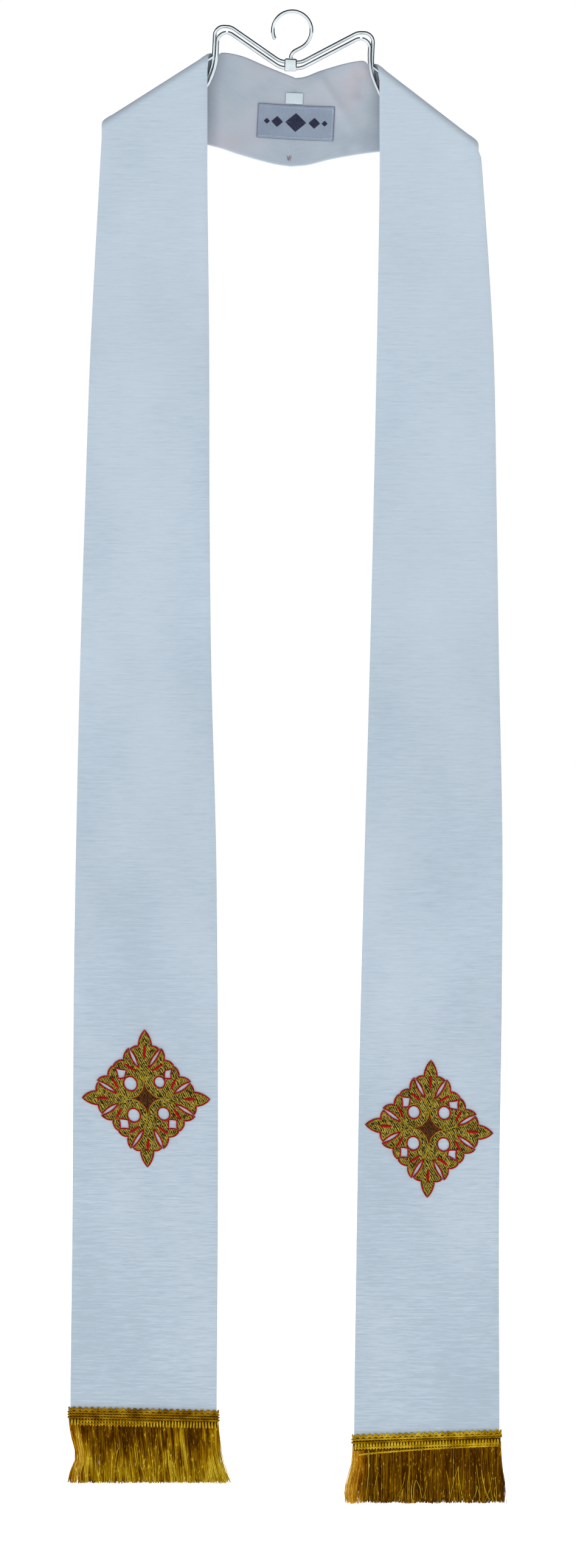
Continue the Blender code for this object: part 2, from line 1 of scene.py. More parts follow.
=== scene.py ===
"""The looks of a clergy stole on a chrome wire hanger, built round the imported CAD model.

Lengths are in millimetres, in the model's own frame, until a finished piece is scaled to
metres. Left and right are as seen from the front. Drops are measured down from the inside
top of the hook.
"""

import math
import random

import bpy
from mathutils import Matrix, Vector, noise

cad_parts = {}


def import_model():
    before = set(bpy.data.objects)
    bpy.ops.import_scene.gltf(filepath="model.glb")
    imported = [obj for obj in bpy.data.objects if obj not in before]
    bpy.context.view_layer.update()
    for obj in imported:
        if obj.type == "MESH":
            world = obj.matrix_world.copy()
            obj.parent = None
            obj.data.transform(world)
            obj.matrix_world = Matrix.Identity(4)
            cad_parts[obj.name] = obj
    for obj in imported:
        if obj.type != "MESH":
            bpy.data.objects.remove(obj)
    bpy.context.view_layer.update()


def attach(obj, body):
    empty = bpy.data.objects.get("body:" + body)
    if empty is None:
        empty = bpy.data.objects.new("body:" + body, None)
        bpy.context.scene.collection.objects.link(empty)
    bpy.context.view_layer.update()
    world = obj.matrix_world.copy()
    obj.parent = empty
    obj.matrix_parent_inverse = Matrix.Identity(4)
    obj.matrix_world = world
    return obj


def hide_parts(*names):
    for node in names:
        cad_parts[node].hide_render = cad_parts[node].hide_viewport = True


MILLIMETRE = 0.001
MERGE_DISTANCE = 0.004

# The camera looks straight at the middle of the stole from in front.
CAMERA_X = -0.0044
CAMERA_DISTANCE = 8.0
CAMERA_Z = -0.678
FRONT_PLANE_Y = -0.0065
VIEW_HEIGHT = 1.378
SENSOR = 36.0

FLOOR_Z = -1.56
FLOOR_SIZE = 120.0
FLOOR_GLOW = 0.92
WHITE = (1.0, 1.0, 1.0, 1.0)

# Layers of cloth, measured outwards from the middle of a fold.
LINING_INNER = 4.0
FACE_OUTER = 6.5
MIDDLE_LAYER = (LINING_INNER + FACE_OUTER) / 2

# The section of a turned edge: distance in from the edge and out from the fold's middle.
FACE_EDGE = ((2.4, 6.5), (1.1, 6.44), (0.4, 6.26), (0.05, 6.0), (0.0, 5.7), (0.3, 5.4), (1.0, 5.3))
LINING_EDGE = ((2.4, 5.0), (1.1, 4.98), (0.65, 4.8), (0.5, 4.5), (0.65, 4.2), (1.1, 4.02), (2.4, 4.0))

# The edge of the face turned in behind it, which lifts the outside a little.
TURNING_WIDTH = 9.0
TURNING_RISE = 0.3
TURNING_LIFTS_FROM = 6.0

# The hanger, symmetrical in its own frame and hung a little askew, and its wire.
HANGER_TILT = math.radians(2.6)
ARM_SLOPE = math.radians(35.0)
RIDGE_APEX_RISE = 12.0
WIRE_RADIUS = 1.7
WIRE_CLEARANCE = 0.3
WIRE_SIDES = 16
HOOK_RADIUS = 17.0
HOOK_START = -60.0
HOOK_END = 205.0
HOOK_STEPS = 56
HOOK_STEM_BEND = 7.5
HOOK_FOOT = -39.8
NECK_WIRE_FRONT_X = 67.1
NECK_WIRE_BACK_X = 69.7
NECK_WIRE_LEANS_RIGHT = 1.85
NECK_WIRE_FRONT_Y = -2.0
NECK_WIRE_BACK_Y = 0.6
BRIDGE_FRONT_DIP = -48.5
BRIDGE_BACK_DIP = -43.0
HUMP_FRONT_TOP = -20.0
HUMP_BACK_TOP = -14.5
HUMP_INNER_X = 56.0
ARM_TIP_X = 152.0
ARM_TIP_Z = -100.0
# The right front wire bends away from the neck higher up than the left one.
RIGHT_BEND_RISE = 6.0
# The ferrule round the two bridge wires: width, depth, how far it laps them, and its bevel.
CLAMP_WIDTH = 11.0
CLAMP_DEPTH = 8.6
CLAMP_LAP = 2.4
CLAMP_BEVEL = 1.6

# Where each half folds over its arm: the distance across from the origin to the
# neck point and to the shoulder corner, along the ridge of the fold.
FOLDS = {
    "left": {"side": -1, "neck_x": 73.5, "shoulder_x": 167.3},
    "right": {"side": 1, "neck_x": 73.9, "shoulder_x": 162.2},
}

# Front panels: the edges' distance across from the origin at each drop.
FRONT_COLUMNS = ("drop", "left_inner", "left_outer", "right_inner", "right_outer")
FRONT_EDGES = (
    (105.0, 75.2, 168.0, 76.0, 163.0),
    (150.0, 75.3, 170.5, 76.2, 167.3),
    (294.0, 73.7, 178.1, 73.8, 176.3),
    (439.0, 73.4, 183.1, 70.8, 179.3),
    (583.0, 71.8, 187.6, 67.3, 181.5),
    (727.0, 67.8, 190.8, 63.3, 184.1),
    (872.0, 66.2, 193.0, 59.5, 183.7),
    (1038.0, 66.0, 193.8, 56.6, 181.3),
    (1210.0, 67.0, 195.7, 54.1, 181.5),
    (1290.0, 67.0, 195.7, 53.6, 181.5),
)

# Neck edges of the back, from the fold to the centre seam, as (x, z).
NECK_TOP = {
    "left": ((-62.0, -34.2), (-44.8, -37.0), (-23.2, -45.6)),
    "right": ((62.0, -41.4), (46.7, -43.4), (25.2, -49.2), (11.0, -54.4)),
}
NECK_BOTTOM = {
    "left": ((-75.3, -115.6), (-48.3, -123.7), (-18.6, -131.4)),
    "right": ((74.5, -121.8), (33.3, -127.9), (14.0, -132.5)),
}
SEAM_TOP = (2.4, -55.6)
SEAM_BOTTOM = (-2.0, -133.9)
SEAM_VALLEY = 0.7
SEAM_VALLEY_WIDTH = 1.6

# How the fronts hang and how uneven they are: depths, and lengths down the cloth.
LONG_WAVE_DEPTH = 3.2
LONG_WAVE_LENGTH = 540.0
TWIST_DEPTH = 1.5
TWIST_LENGTH = 350.0
CROWN_DEPTH = 1.8
BROAD_RIPPLE = 0.55
EDGE_RIPPLE = 0.4
NECK_RIPPLE = 0.5

# How far the back of the neck stands behind the hanger, and its folds and puckers, each from
# one (x, z) to another, with its half width and depth.
NECK_BOW = 13.0
NECK_BOW_HALF_WIDTH = 72.0
NECK_FOLDS = (
    (46.0, -58.0, 62.0, -104.0, 11.0, 1.5),
    (-54.0, -56.0, -44.0, -108.0, 12.0, 1.0),
)
NECK_CREASES = (
    (22.0, -54.0, 43.0, -88.0, 4.5, -2.0),
    (60.0, -52.0, 58.0, -72.0, 4.0, 2.2),
    (66.0, -82.0, 55.0, -122.0, 5.0, -2.2),
    (49.0, -104.0, 52.0, -126.0, 3.2, 1.6),
    (41.0, -108.0, 42.0, -128.0, 2.6, -1.4),
    (27.0, -114.0, 24.0, -131.0, 2.8, 1.2),
    (-64.0, -60.0, -66.0, -112.0, 5.0, -1.2),
    (-30.0, -116.0, -36.0, -128.0, 3.5, 0.5),
    (-14.0, -50.0, -40.0, -68.0, 5.0, 0.5),
)

# Hems: the drop of the braid's top edge at the inner and outer end, and of the tips.
HEMS = {
    "left": {"inner": 1229.6, "outer": 1226.5, "tips": 1291.4},
    "right": {"inner": 1250.9, "outer": 1246.8, "tips": 1309.0},
}
BRAID_HEIGHT = 16.0
HEM_ABOVE_BRAID_FOOT = 2.0
BRAID_RETURN = 9.0
BRAID_CLEARANCE = 0.3
SCALLOPS = 24
LOOPS = 48
# Shares of the braid's width that lie past its two ends, so that a row goes round them.
PAST_START = -1.0
PAST_END = 2.0

# Rows of twisted cord on each braid: drop below its top edge at the viewer's left and
# right end, the share of the braid where the row starts and ends, and its tint.
BRAID_CORDS = {
    "left": (
        (3.3, 3.1, PAST_START, PAST_END, "dark"),
        (5.6, 5.4, PAST_START, PAST_END, "dark"),
        (7.9, 7.8, PAST_START, PAST_END, "dark"),
        (10.6, 9.9, 0.06, 0.60, "dark"),
        (13.4, 11.9, 0.06, 0.50, "dark"),
    ),
    "right": (
        (3.4, 3.0, PAST_START, PAST_END, "light"),
        (6.0, 4.6, PAST_START, PAST_END, "dark"),
        (10.8, 10.3, 0.02, 0.99, "light"),
        (16.6, 12.4, 0.03, 0.99, "light"),
    ),
}
# A hair off straight, so that it never lies along a cord.
TOWARDS_VIEWER = Vector((0.0, -1.0, 0.001))
CORD_PLY_RADIUS = 0.54
CORD_LAY_RADIUS = 0.5
CORD_PITCH = 5.5
CORD_STANDING = 1.15
CORD_STEP = 0.55
# A row that slants more than this across the braid sags the other way in its middle.
SLANT_THAT_BOWS = 3.0
CORD_BOW = 1.1

# The scalloped cords along the top: how high each arches, and how they lie.
PICOT_PLY_RADIUS = 0.5
PICOT_LAY_RADIUS = 0.38
PICOT_PITCH = 3.4
PICOT_RISES = (3.1, 1.5)
PICOT_DROP = 2.3
PICOT_STANDING = 0.9
PICOT_STEP = 0.26
PICOT_TINTS = {"left": "dark", "right": "light"}

# Section of the tape behind the cords: how far it stands out at each drop.
TAPE_SECTION = ((0.0, 0.0), (0.5, 0.15), (0.7, 1.2), (0.7, 13.4), (0.5, 14.4), (0.0, 14.8))
TAPE_DROP = 1.0
TAPE_STEP = 1.4

# The upright loops that the strands hang from.
LOOP_ROWS = {"left": (8.8, 15.2), "right": (6.2, 12.6)}
LOOP_HALF_WIDTH = {"left": 0.80, "right": 0.98}
LOOP_HALF_DEPTH = 0.6
LOOP_STANDING = 1.0

# Strands of one fringe, and the drift of its two ends as (share of the way down,
# millimetres to the viewer's right).
STRANDS = 2700
STRAND_RADIUS = 0.29
STRAND_RINGS = 7
STRAY_RADIUS = 0.24
STRAND_ROOT_DROP = 13.0
END_ROOT_DROP = 9.0
# The foremost roots and tips, and how far behind them the others reach.
ROOTS_Y = -7.8
ROOTS_SPREAD = 2.6
TIPS_Y = -8.8
TIPS_SPREAD = 4.2
BEYOND_ENDS = 1.3
END_REACH = 0.16
STRAND_DRIFT = {
    "left": {
        "start": ((0.0, 0.0), (0.25, 2.0), (0.5, 6.2), (0.66, 6.4), (0.85, 1.4), (1.0, 0.2)),
        "end": ((0.0, 0.0), (0.5, 1.2), (0.75, 4.4), (1.0, 10.5)),
    },
    "right": {
        "start": ((0.0, 0.0), (0.3, 0.3), (0.55, -3.6), (0.8, -6.6), (1.0, -5.4)),
        "end": ((0.0, 0.0), (0.45, 0.2), (0.7, 2.6), (1.0, 2.8)),
    },
}
STRAND_LEAN = {"left": 4.6, "right": 0.0}
STRAYS = {"left": 9, "right": 24}
LONG_STRAY_SHARE = 0.1

# How light the strands are, and by how much that changes from place to place.
STRAND_TONES = {
    "left": {
        "middle": 0.34,
        "clouds": 0.30,
        "streaks": 0.66,
        "to_tips": 0.46,
        "left_end": 0.22,
        "right_end": 0.32,
        "shadow": 0.24,
    },
    "right": {
        "middle": 0.20,
        "clouds": 0.12,
        "streaks": 0.34,
        "to_tips": 0.06,
        "left_end": 0.56,
        "right_end": 0.04,
        "shadow": 0.0,
    },
}
# Middle and half size of the shadow, as (share of the braid, share of the way down).
SHADOW_MIDDLE = (0.34, 0.2)
SHADOW_HALF = (0.2, 0.3)

# What sets off the chance in each half, so that every run comes out the same.
CHANCES = {
    "left": {
        "sway": 0.6,
        "ripple": 3.0,
        "loops": 5,
        "strands": 21,
        "lean": 5.0,
        "clouds": 4.0,
        "streaks": 8.0,
    },
    "right": {
        "sway": 2.4,
        "ripple": 11.0,
        "loops": 6,
        "strands": 43,
        "lean": 9.0,
        "clouds": 15.0,
        "streaks": 19.0,
    },
}

# The embroidered leaf cross: its centre, how far its arms and its upright lean clockwise in
# degrees, how far its middle is pulled aside above the centre, and its size.
EMBLEMS = {
    "left": {"x": -129.2, "drop": 954.4, "arms_lean": 0.8, "upright_leans": -1.3, "pull": -1.9},
    "right": {"x": 119.7, "drop": 981.1, "arms_lean": 3.9, "upright_leans": 1.6, "pull": 0.0},
}
EMBLEM_HEIGHT = 120.0
EMBLEM_WIDTH = 112.0
EMBLEM_STILL_HALF = 66.0
STITCH_HEIGHT = 0.8
FILL_BASE = 0.03
SOFT_EDGE = 0.22
DIAMOND_BASE = 0.3
DIAMOND_TOP = STITCH_HEIGHT + 0.22
DASH_HALF_HEIGHT = 0.42
# Cords on the cross: red round its edges, fine ones round its middle and along its curls,
# and the inner ones just inside its outline and round its holes.
OUTLINE_RADIUS = 0.7
OUTLINE_HEIGHT = 0.62
FINE_CORD_RADIUS = 0.34
INNER_CORD_RADIUS = 0.26
INNER_CORD_INSET = 1.4
RING_CORD_INSET = INNER_CORD_INSET * 0.8
PULL_REACH = 45.0

# Corners of the cross in its own plane, from an arm's tip to the diagonal.
LEAF_CORNERS = (
    (0.0, 60.0),
    (6.2, 46.0),
    (13.7, 43.2),
    (4.4, 26.4),
    (15.4, 43.9),
    (19.1, 33.5),
    (28.0, 29.5),
    (28.0, 28.0),
)

# Middle and radius of each round hole, which the needle left a little uneven.
LEAF_HOLES = {
    "left": ((-13.0, 12.8, 6.4), (14.6, 14.5, 5.1), (14.7, -13.2, 5.8), (-13.5, -14.9, 6.1)),
    "right": ((-14.8, 13.8, 5.8), (13.8, 14.9, 5.8), (14.0, -12.8, 6.0), (-14.5, -13.6, 6.1)),
}
# Corners of each kite-shaped window, from its outer one and round to the left.
LEAF_WINDOWS = {
    "left": (
        ((-27.0, 27.0), (-24.0, 17.2), (-18.1, 18.1), (-16.3, 24.9)),
        ((27.0, 27.0), (20.5, 25.1), (19.4, 18.2), (25.7, 17.7)),
        ((27.0, -27.0), (26.9, -18.8), (19.3, -18.2), (18.7, -26.3)),
        ((-27.0, -27.0), (-18.5, -27.2), (-19.1, -19.1), (-27.9, -18.3)),
    ),
    "right": (
        ((-27.0, 27.0), (-25.9, 17.5), (-19.9, 18.2), (-18.7, 26.7)),
        ((27.0, 27.0), (17.7, 25.4), (18.7, 19.5), (27.1, 18.7)),
        ((27.0, -27.0), (26.2, -17.1), (19.0, -17.7), (18.0, -22.7)),
        ((-27.0, -27.0), (-19.5, -26.6), (-19.6, -18.5), (-26.8, -17.8)),
    ),
}
HOLE_CORNERS = 24

# One curl, one side of the middle diamond, and the dashes as (start, end, half width).
CURL = (
    (5.2, 27.0),
    (2.3, 21.5),
    (0.9, 17.0),
    (0.75, 13.0),
    (2.2, 8.0),
    (4.9, 4.9),
    (8.0, 2.2),
    (13.0, 0.75),
    (17.0, 0.9),
    (21.5, 2.3),
    (27.0, 5.2),
)
DIAMOND_SIDE = ((0.0, 13.2), (1.0, 9.8), (2.6, 6.6), (4.7, 4.7), (6.6, 2.6), (9.8, 1.0), (13.2, 0.0))
DASHES = (((0.0, 34.8), (0.0, 47.4), 1.4), ((18.4, 30.6), (8.0, 24.2), 1.25))

# Labels on the lining at the centre back.
LABEL_SIZE = (67.0, 30.0)
LABEL_CENTRE = (2.4, -95.1)
LABEL_THICKNESS = 0.6
CARE_SIZE = (15.0, 9.5)
CARE_CENTRE = (1.2, -73.8)
CARE_THICKNESS = 0.5
LABEL_GRID = (48, 22)
CARE_GRID = (14, 9)
RIBBON_SOFTNESS = 0.3
LABEL_LEAN = math.radians(3.0)
LABEL_CLEARANCE = 0.6
SELVEDGE_RADIUS = 0.26
SELVEDGE_INSET = 0.1
SELVEDGE_LIFT = 0.35
STITCH_INSETS = (1.6, 2.0)
STITCH_LIFT = 0.7
STITCH_HALF_SIZES = (0.9, 0.28, 0.24)
STITCHES_ALONG = 27
STITCHES_DOWN = 11
MOTIF_THREAD_RADIUS = 0.3
MOTIF_THREAD_PITCH = 0.5
MOTIF_LIFT = 0.62

# The bar-tack at the foot of the seam.
TACK_CENTRE = (-3.4, -126.4)
TACK_STITCHES = 7
TACK_CHANCE = 8
TACK_PITCH = 0.55
TACK_HALF_SIZES = (0.22, 0.24, 1.9)

# The plain woven motif: middle, half width and half height of each lozenge.
MOTIF_LOZENGES = (
    (-25.5, 2.8, 2.6),
    (-16.4, 5.2, 4.9),
    (0.0, 9.4, 8.4),
    (16.4, 5.2, 4.9),
    (25.5, 2.8, 2.6),
)

# How finely the cloth is cut.
CLOTH_COLUMNS = 26
ROLL_STEPS = 14
NECK_ROWS = 34
FRONT_ROW_PITCH = 6.0
ROWS_SQUARE_DROP = 270.0


def colour(red, green, blue):
    """A colour given from 0 to 255, as the shader takes it."""
    shares = [c / 255.0 for c in (red, green, blue)]
    straight = [c / 12.92 if c <= 0.04045 else ((c + 0.055) / 1.055) ** 2.4 for c in shares]
    return (*straight, 1.0)


# Camera, light and floor


def add_camera():
    data = bpy.data.cameras.new("front_camera")
    data.sensor_width = SENSOR
    data.lens = SENSOR * CAMERA_DISTANCE / VIEW_HEIGHT
    data.clip_start = 0.05
    data.clip_end = 400.0
    camera = bpy.data.objects.new("front_camera", data)
    camera.location = (CAMERA_X, FRONT_PLANE_Y - CAMERA_DISTANCE, CAMERA_Z)
    camera.rotation_euler = (math.radians(90.0), 0.0, 0.0)
    bpy.context.scene.collection.objects.link(camera)
    bpy.context.scene.camera = camera


# Softboxes: name, place, width, height and watts. All aim at the middle of the stole.
LIGHTS = (
    ("key_softbox", (-2.5, -2.7, 0.9), 1.4, 2.0, 17.5),
    ("fill_softbox", (2.6, -2.4, -0.3), 1.8, 2.4, 6.8),
    ("back_softbox", (0.8, 3.2, 0.7), 2.2, 2.2, 30.0),
)
LIGHT_AIM = (0.0, 0.0, -0.62)

# How bright the room is, from straight in front of the stole (0) round to straight behind
# it (1), as a light and as the shiny wire mirrors it.
ROOM_LIGHT = ((0.0, 0.32), (0.26, 0.34), (0.50, 0.45), (0.80, 0.27), (1.0, 0.29))
MIRRORED_LIGHT = ((0.0, 1.4), (0.04, 1.2), (0.10, 0.10), (0.40, 0.01), (0.80, 0.01), (1.0, 0.12))


def add_lights():
    for name, place, width, height, watts in LIGHTS:
        data = bpy.data.lights.new(name, "AREA")
        data.shape = "RECTANGLE"
        data.size = width
        data.size_y = height
        data.energy = watts
        light = bpy.data.objects.new(name, data)
        light.location = place
        aim = Vector(LIGHT_AIM) - Vector(place)
        light.rotation_euler = aim.to_track_quat("-Z", "Y").to_euler()
        light.visible_camera = False
        bpy.context.scene.collection.objects.link(light)


def add_surroundings():
    """A white room: pure white where it is seen, and softer as a light and in the wire."""
    world = bpy.data.worlds.new("white_room")
    world.use_nodes = True
    tree = world.node_tree
    tree.nodes.clear()
    direction = add_node(tree, "ShaderNodeTexCoord").outputs["Generated"]
    split = add_node(tree, "ShaderNodeSeparateXYZ", {0: direction})
    turned = {"Value": split.outputs["Y"], "From Min": -1.0, "From Max": 1.0}
    backward = add_node(tree, "ShaderNodeMapRange", turned).outputs["Result"]
    seen, lit, mirrored = (
        add_node(tree, "ShaderNodeBackground", {"Color": shade})
        for shade in (WHITE, (0.97, 0.985, 1.0, 1.0), (0.95, 1.0, 1.0, 1.0))
    )
    for background, light in ((lit, ROOM_LIGHT), (mirrored, MIRRORED_LIGHT)):
        stops = [(place, (share, share, share, 1.0)) for place, share in light]
        link_ramp(tree, backward, background.inputs["Strength"], stops)
    path = add_node(tree, "ShaderNodeLightPath").outputs
    shader = lit.outputs["Background"]
    for ray, background in (("Is Glossy Ray", mirrored), ("Is Camera Ray", seen)):
        choice = {"Fac": path[ray], 1: shader, 2: background.outputs["Background"]}
        shader = add_node(tree, "ShaderNodeMixShader", choice).outputs["Shader"]
    add_node(tree, "ShaderNodeOutputWorld", {"Surface": shader})
    bpy.context.scene.world = world
    bpy.context.scene.view_settings.view_transform = "Standard"


def add_floor():
    deselect()
    bpy.ops.mesh.primitive_plane_add(size=FLOOR_SIZE, location=(0.0, 0.0, FLOOR_Z))
    floor = bpy.context.object
    floor.name = "studio_floor"
    made, tree, shader = start_material("pale_floor", 0.8)
    shade = grain(tree, object_place(tree), (0.6, 0.6, 0.6), 2.0)
    stops = ((0.3, (0.9, 0.9, 0.9, 1.0)), (0.7, (0.94, 0.94, 0.94, 1.0)))
    link_ramp(tree, shade, shader.inputs["Base Color"], stops)
    shader.inputs["Emission Color"].default_value = WHITE
    shader.inputs["Emission Strength"].default_value = FLOOR_GLOW
    floor.data.materials.append(made)


# Materials


def add_node(tree, kind, inputs=None, **settings):
    """A node, whose inputs are given as constants or as the outputs that feed them."""
    node = tree.nodes.new(kind)
    for key, value in settings.items():
        setattr(node, key, value)
    for socket, value in (inputs or {}).items():
        if isinstance(value, bpy.types.NodeSocket):
            tree.links.new(value, node.inputs[socket])
        else:
            node.inputs[socket].default_value = value
    return node


def start_material(name, roughness, **settings):
    """A new material, with constants for sockets whose names have spaces for underscores."""
    made = bpy.data.materials.new(name)
    made.use_nodes = True
    tree = made.node_tree
    shader = tree.nodes["Principled BSDF"]
    shader.inputs["Roughness"].default_value = roughness
    for socket, value in settings.items():
        shader.inputs[socket.replace("_", " ")].default_value = value
    return made, tree, shader


def object_place(tree):
    return add_node(tree, "ShaderNodeTexCoord").outputs["Object"]


def cloth_place(tree, name):
    """The piece's own map: across the cloth, then along it, in metres."""
    return add_node(tree, "ShaderNodeUVMap", uv_map=name).outputs["UV"]


def scaled(tree, place, scale):
    return add_node(tree, "ShaderNodeMapping", {"Vector": place, "Scale": scale}).outputs["Vector"]


def grain(tree, place, scale, detail, roughness=0.55):
    """Noise with that many grains to the metre along each direction of the place."""
    spread = {"Vector": scaled(tree, place, scale), "Scale": 1.0}
    inputs = {**spread, "Detail": detail, "Roughness": roughness}
    return add_node(tree, "ShaderNodeTexNoise", inputs).outputs["Fac"]


def ribs(tree, place, direction, pitch, distortion=0.0):
    """Ridges at that pitch in metres, as the threads of a weave lie."""
    scale = math.pi / 10.0 / pitch
    inputs = {"Vector": place, "Scale": scale, "Distortion": distortion, "Detail": 1.0}
    return add_node(tree, "ShaderNodeTexWave", inputs, bands_direction=direction).outputs["Fac"]


def reckoned(tree, operation, first, second):
    return add_node(tree, "ShaderNodeMath", {0: first, 1: second}, operation=operation).outputs[0]


def mixed(tree, parts):
    """The sum of a few outputs, each times its own weight."""
    shares = [reckoned(tree, "MULTIPLY", output, weight) for output, weight in parts]
    total = shares[0]
    for share in shares[1:]:
        total = reckoned(tree, "ADD", total, share)
    return total


def split_axes(tree, place):
    return add_node(tree, "ShaderNodeSeparateXYZ", {0: place}).outputs


def faded(tree, output, place, low, high):
    """An output made weaker or stronger along the second axis of a place, about its middle."""
    ends = {"From Min": low[0], "From Max": high[0], "To Min": low[1], "To Max": high[1]}
    along_place = {"Value": split_axes(tree, place)["Y"], **ends}
    strength = add_node(tree, "ShaderNodeMapRange", along_place).outputs["Result"]
    weaker = reckoned(tree, "MULTIPLY", reckoned(tree, "SUBTRACT", output, 0.5), strength)
    return reckoned(tree, "ADD", weaker, 0.5)


def link_ramp(tree, factor, target, stops):
    """Sends a factor through a colour ramp, given as (place, colour) stops."""
    ramp = add_node(tree, "ShaderNodeValToRGB", {"Fac": factor})
    elements = ramp.color_ramp.elements
    elements[0].position, elements[0].color = stops[0]
    elements[1].position, elements[1].color = stops[-1]
    for place, shade in stops[1:-1]:
        elements.new(place).color = shade
    tree.links.new(ramp.outputs["Color"], target)


def paint(tree, factor, target, places, shades):
    """Colours a socket by a factor: at each of these places, a shade from 0 to 255."""
    link_ramp(tree, factor, target, [(place, colour(*shade)) for place, shade in zip(places, shades)])


def link_range(tree, factor, target, low, high):
    """Sends a factor to a socket as a number between low and high."""
    node = add_node(tree, "ShaderNodeMapRange", {"Value": factor, "To Min": low, "To Max": high})
    tree.links.new(node.outputs["Result"], target)


def link_relief(tree, shader, height, distance, strength=1.0):
    inputs = {"Height": height, "Distance": distance, "Strength": strength}
    bump = add_node(tree, "ShaderNodeBump", inputs)
    tree.links.new(bump.outputs["Normal"], shader.inputs["Normal"])


def face_cloth():
    """White slubbed cloth: thick weft threads run across it as faint broken lines."""
    made, tree, shader = start_material(
        "white_slub_cloth", 0.6, Sheen_Weight=0.12, Sheen_Roughness=0.5, Specular_IOR_Level=0.3
    )
    place = cloth_place(tree, "cloth")
    fine_slubs = grain(tree, place, (80.0, 1500.0, 1.0), 2.0, 0.7)
    broad_slubs = grain(tree, place, (30.0, 560.0, 1.0), 2.0, 0.6)
    fine_slubs = faded(tree, fine_slubs, place, (-1.25, 1.5), (-0.75, 0.8))
    broad_slubs = faded(tree, broad_slubs, place, (-1.25, 1.7), (-0.75, 0.8))
    clouds = grain(tree, place, (9.0, 5.0, 1.0), 2.0)
    # The colour is painted a little lighter the higher it lies on the cloth laid flat, and greyer
    # towards the hem.
    height = split_axes(tree, place)["Y"]
    tone = mixed(tree, ((fine_slubs, 0.4), (broad_slubs, 0.28), (clouds, 0.34), (height, 0.09)))
    shades = ((182, 198, 212), (196, 211, 225), (203, 217, 230), (210, 223, 235))
    paint(tree, tone, shader.inputs["Base Color"], (0.34, 0.46, 0.58, 0.68), shades)
    link_range(tree, fine_slubs, shader.inputs["Roughness"], 0.5, 0.72)
    weft = ribs(tree, place, "Y", 0.00062, 0.6)
    warp = ribs(tree, place, "X", 0.00055, 0.6)
    relief = mixed(tree, ((fine_slubs, 0.9), (broad_slubs, 0.5), (weft, 0.22), (warp, 0.16)))
    link_relief(tree, shader, relief, 0.00025, 0.6)
    return made


def lining_cloth():
    """Plain close-woven lining with a pinkish cast here and there. It is greyer than the face partly
    by its own colour and partly by painted shade of the back of the neck, which lies set back behind
    the fronts.
    """
    made, tree, shader = start_material("grey_lining_with_painted_shade", 0.5, Specular_IOR_Level=0.35)
    place = cloth_place(tree, "cloth")
    threads = grain(tree, place, (900.0, 60.0, 1.0), 2.0, 0.6)
    clouds = grain(tree, place, (17.0, 13.0, 1.0), 2.0)
    tone = mixed(tree, ((threads, 0.3), (clouds, 0.7)))
    # These shades are partly the lining's own grey and partly painted shade of the set-back neck.
    shades = ((168, 181, 194), (177, 189, 201), (185, 192, 203), (189, 188, 198))
    paint(tree, tone, shader.inputs["Base Color"], (0.36, 0.48, 0.58, 0.66), shades)
    link_range(tree, threads, shader.inputs["Roughness"], 0.4, 0.58)
    weft = ribs(tree, place, "Y", 0.00042, 0.4)
    warp = ribs(tree, place, "X", 0.00042, 0.4)
    link_relief(tree, shader, mixed(tree, ((threads, 0.6), (weft, 0.2), (warp, 0.2))), 0.00012, 0.6)
    return made


def gold_strands():
    """Rayon fringe: the map named thread holds each strand's shade and how orange it is. A few bright
    specks are painted glints, painted highlights in the colour.
    """
    made, tree, shader = start_material(
        "gold_rayon_strands", 0.5, Specular_IOR_Level=0.12, Specular_Tint=GOLD_GLOSS
    )
    thread = split_axes(tree, cloth_place(tree, "thread"))
    flecks = grain(tree, object_place(tree), (900.0, 900.0, 160.0), 2.0, 0.7)
    # The brightest specks of this noise are painted lighter as glints: painted highlights on the
    # rayon.
    sparks = grain(tree, object_place(tree), (760.0, 760.0, 230.0), 1.0)
    brightest = {"Value": sparks, "From Min": 0.62, "From Max": 0.70}
    glints = add_node(tree, "ShaderNodeMapRange", brightest).outputs["Result"]
    tone = mixed(tree, ((thread["X"], 0.78), (flecks, 0.3), (glints, 0.4)))
    tint = add_node(tree, "ShaderNodeMix", {"Factor": thread["Y"]}, data_type="RGBA")
    tree.links.new(tint.outputs[2], shader.inputs["Base Color"])
    for socket, shades in ((6, PLAIN_STRANDS), (7, ORANGE_STRANDS)):
        paint(tree, tone, tint.inputs[socket], (0.06, 0.30, 0.54, 0.78, 1.00), shades)
    link_range(tree, flecks, shader.inputs["Roughness"], 0.36, 0.62)
    return made


def gold_cord(name, shades):
    """Twisted gold cord with fine fibres along it."""
    made, tree, shader = start_material(name, 0.4, Specular_IOR_Level=0.18, Specular_Tint=GOLD_GLOSS)
    place = object_place(tree)
    fibres = grain(tree, place, (1400.0, 1400.0, 3200.0), 3.0, 0.7)
    patches = grain(tree, place, (90.0, 90.0, 160.0), 2.0)
    tone = mixed(tree, ((fibres, 0.6), (patches, 0.4)))
    paint(tree, tone, shader.inputs["Base Color"], (0.36, 0.5, 0.64), shades)
    link_range(tree, fibres, shader.inputs["Roughness"], 0.3, 0.55)
    link_relief(tree, shader, fibres, 0.00022, 0.8)
    return made


def embroidery(name, speck, depth, spread, shades):
    """Close machine stitches, a speckle of short threads: partly their own uneven shades and partly
    painted highlights where they catch the light.
    """
    made, tree, shader = start_material(name, 0.45, Specular_IOR_Level=0.1)
    place = object_place(tree)
    specks = grain(tree, place, (speck, speck, speck * 0.8), 1.4, 0.6)
    slants = ribs(tree, scaled(tree, place, (1.0, 1.0, 0.55)), "DIAGONAL", 0.0009, 6.0)
    tone = mixed(tree, ((specks, 0.72), (slants, 0.28)))
    paint(tree, tone, shader.inputs["Base Color"], (0.5 - spread, 0.49, 0.5 + spread), shades)
    link_range(tree, specks, shader.inputs["Roughness"], 0.32, 0.6)
    link_relief(tree, shader, tone, depth, 0.9)
    return made


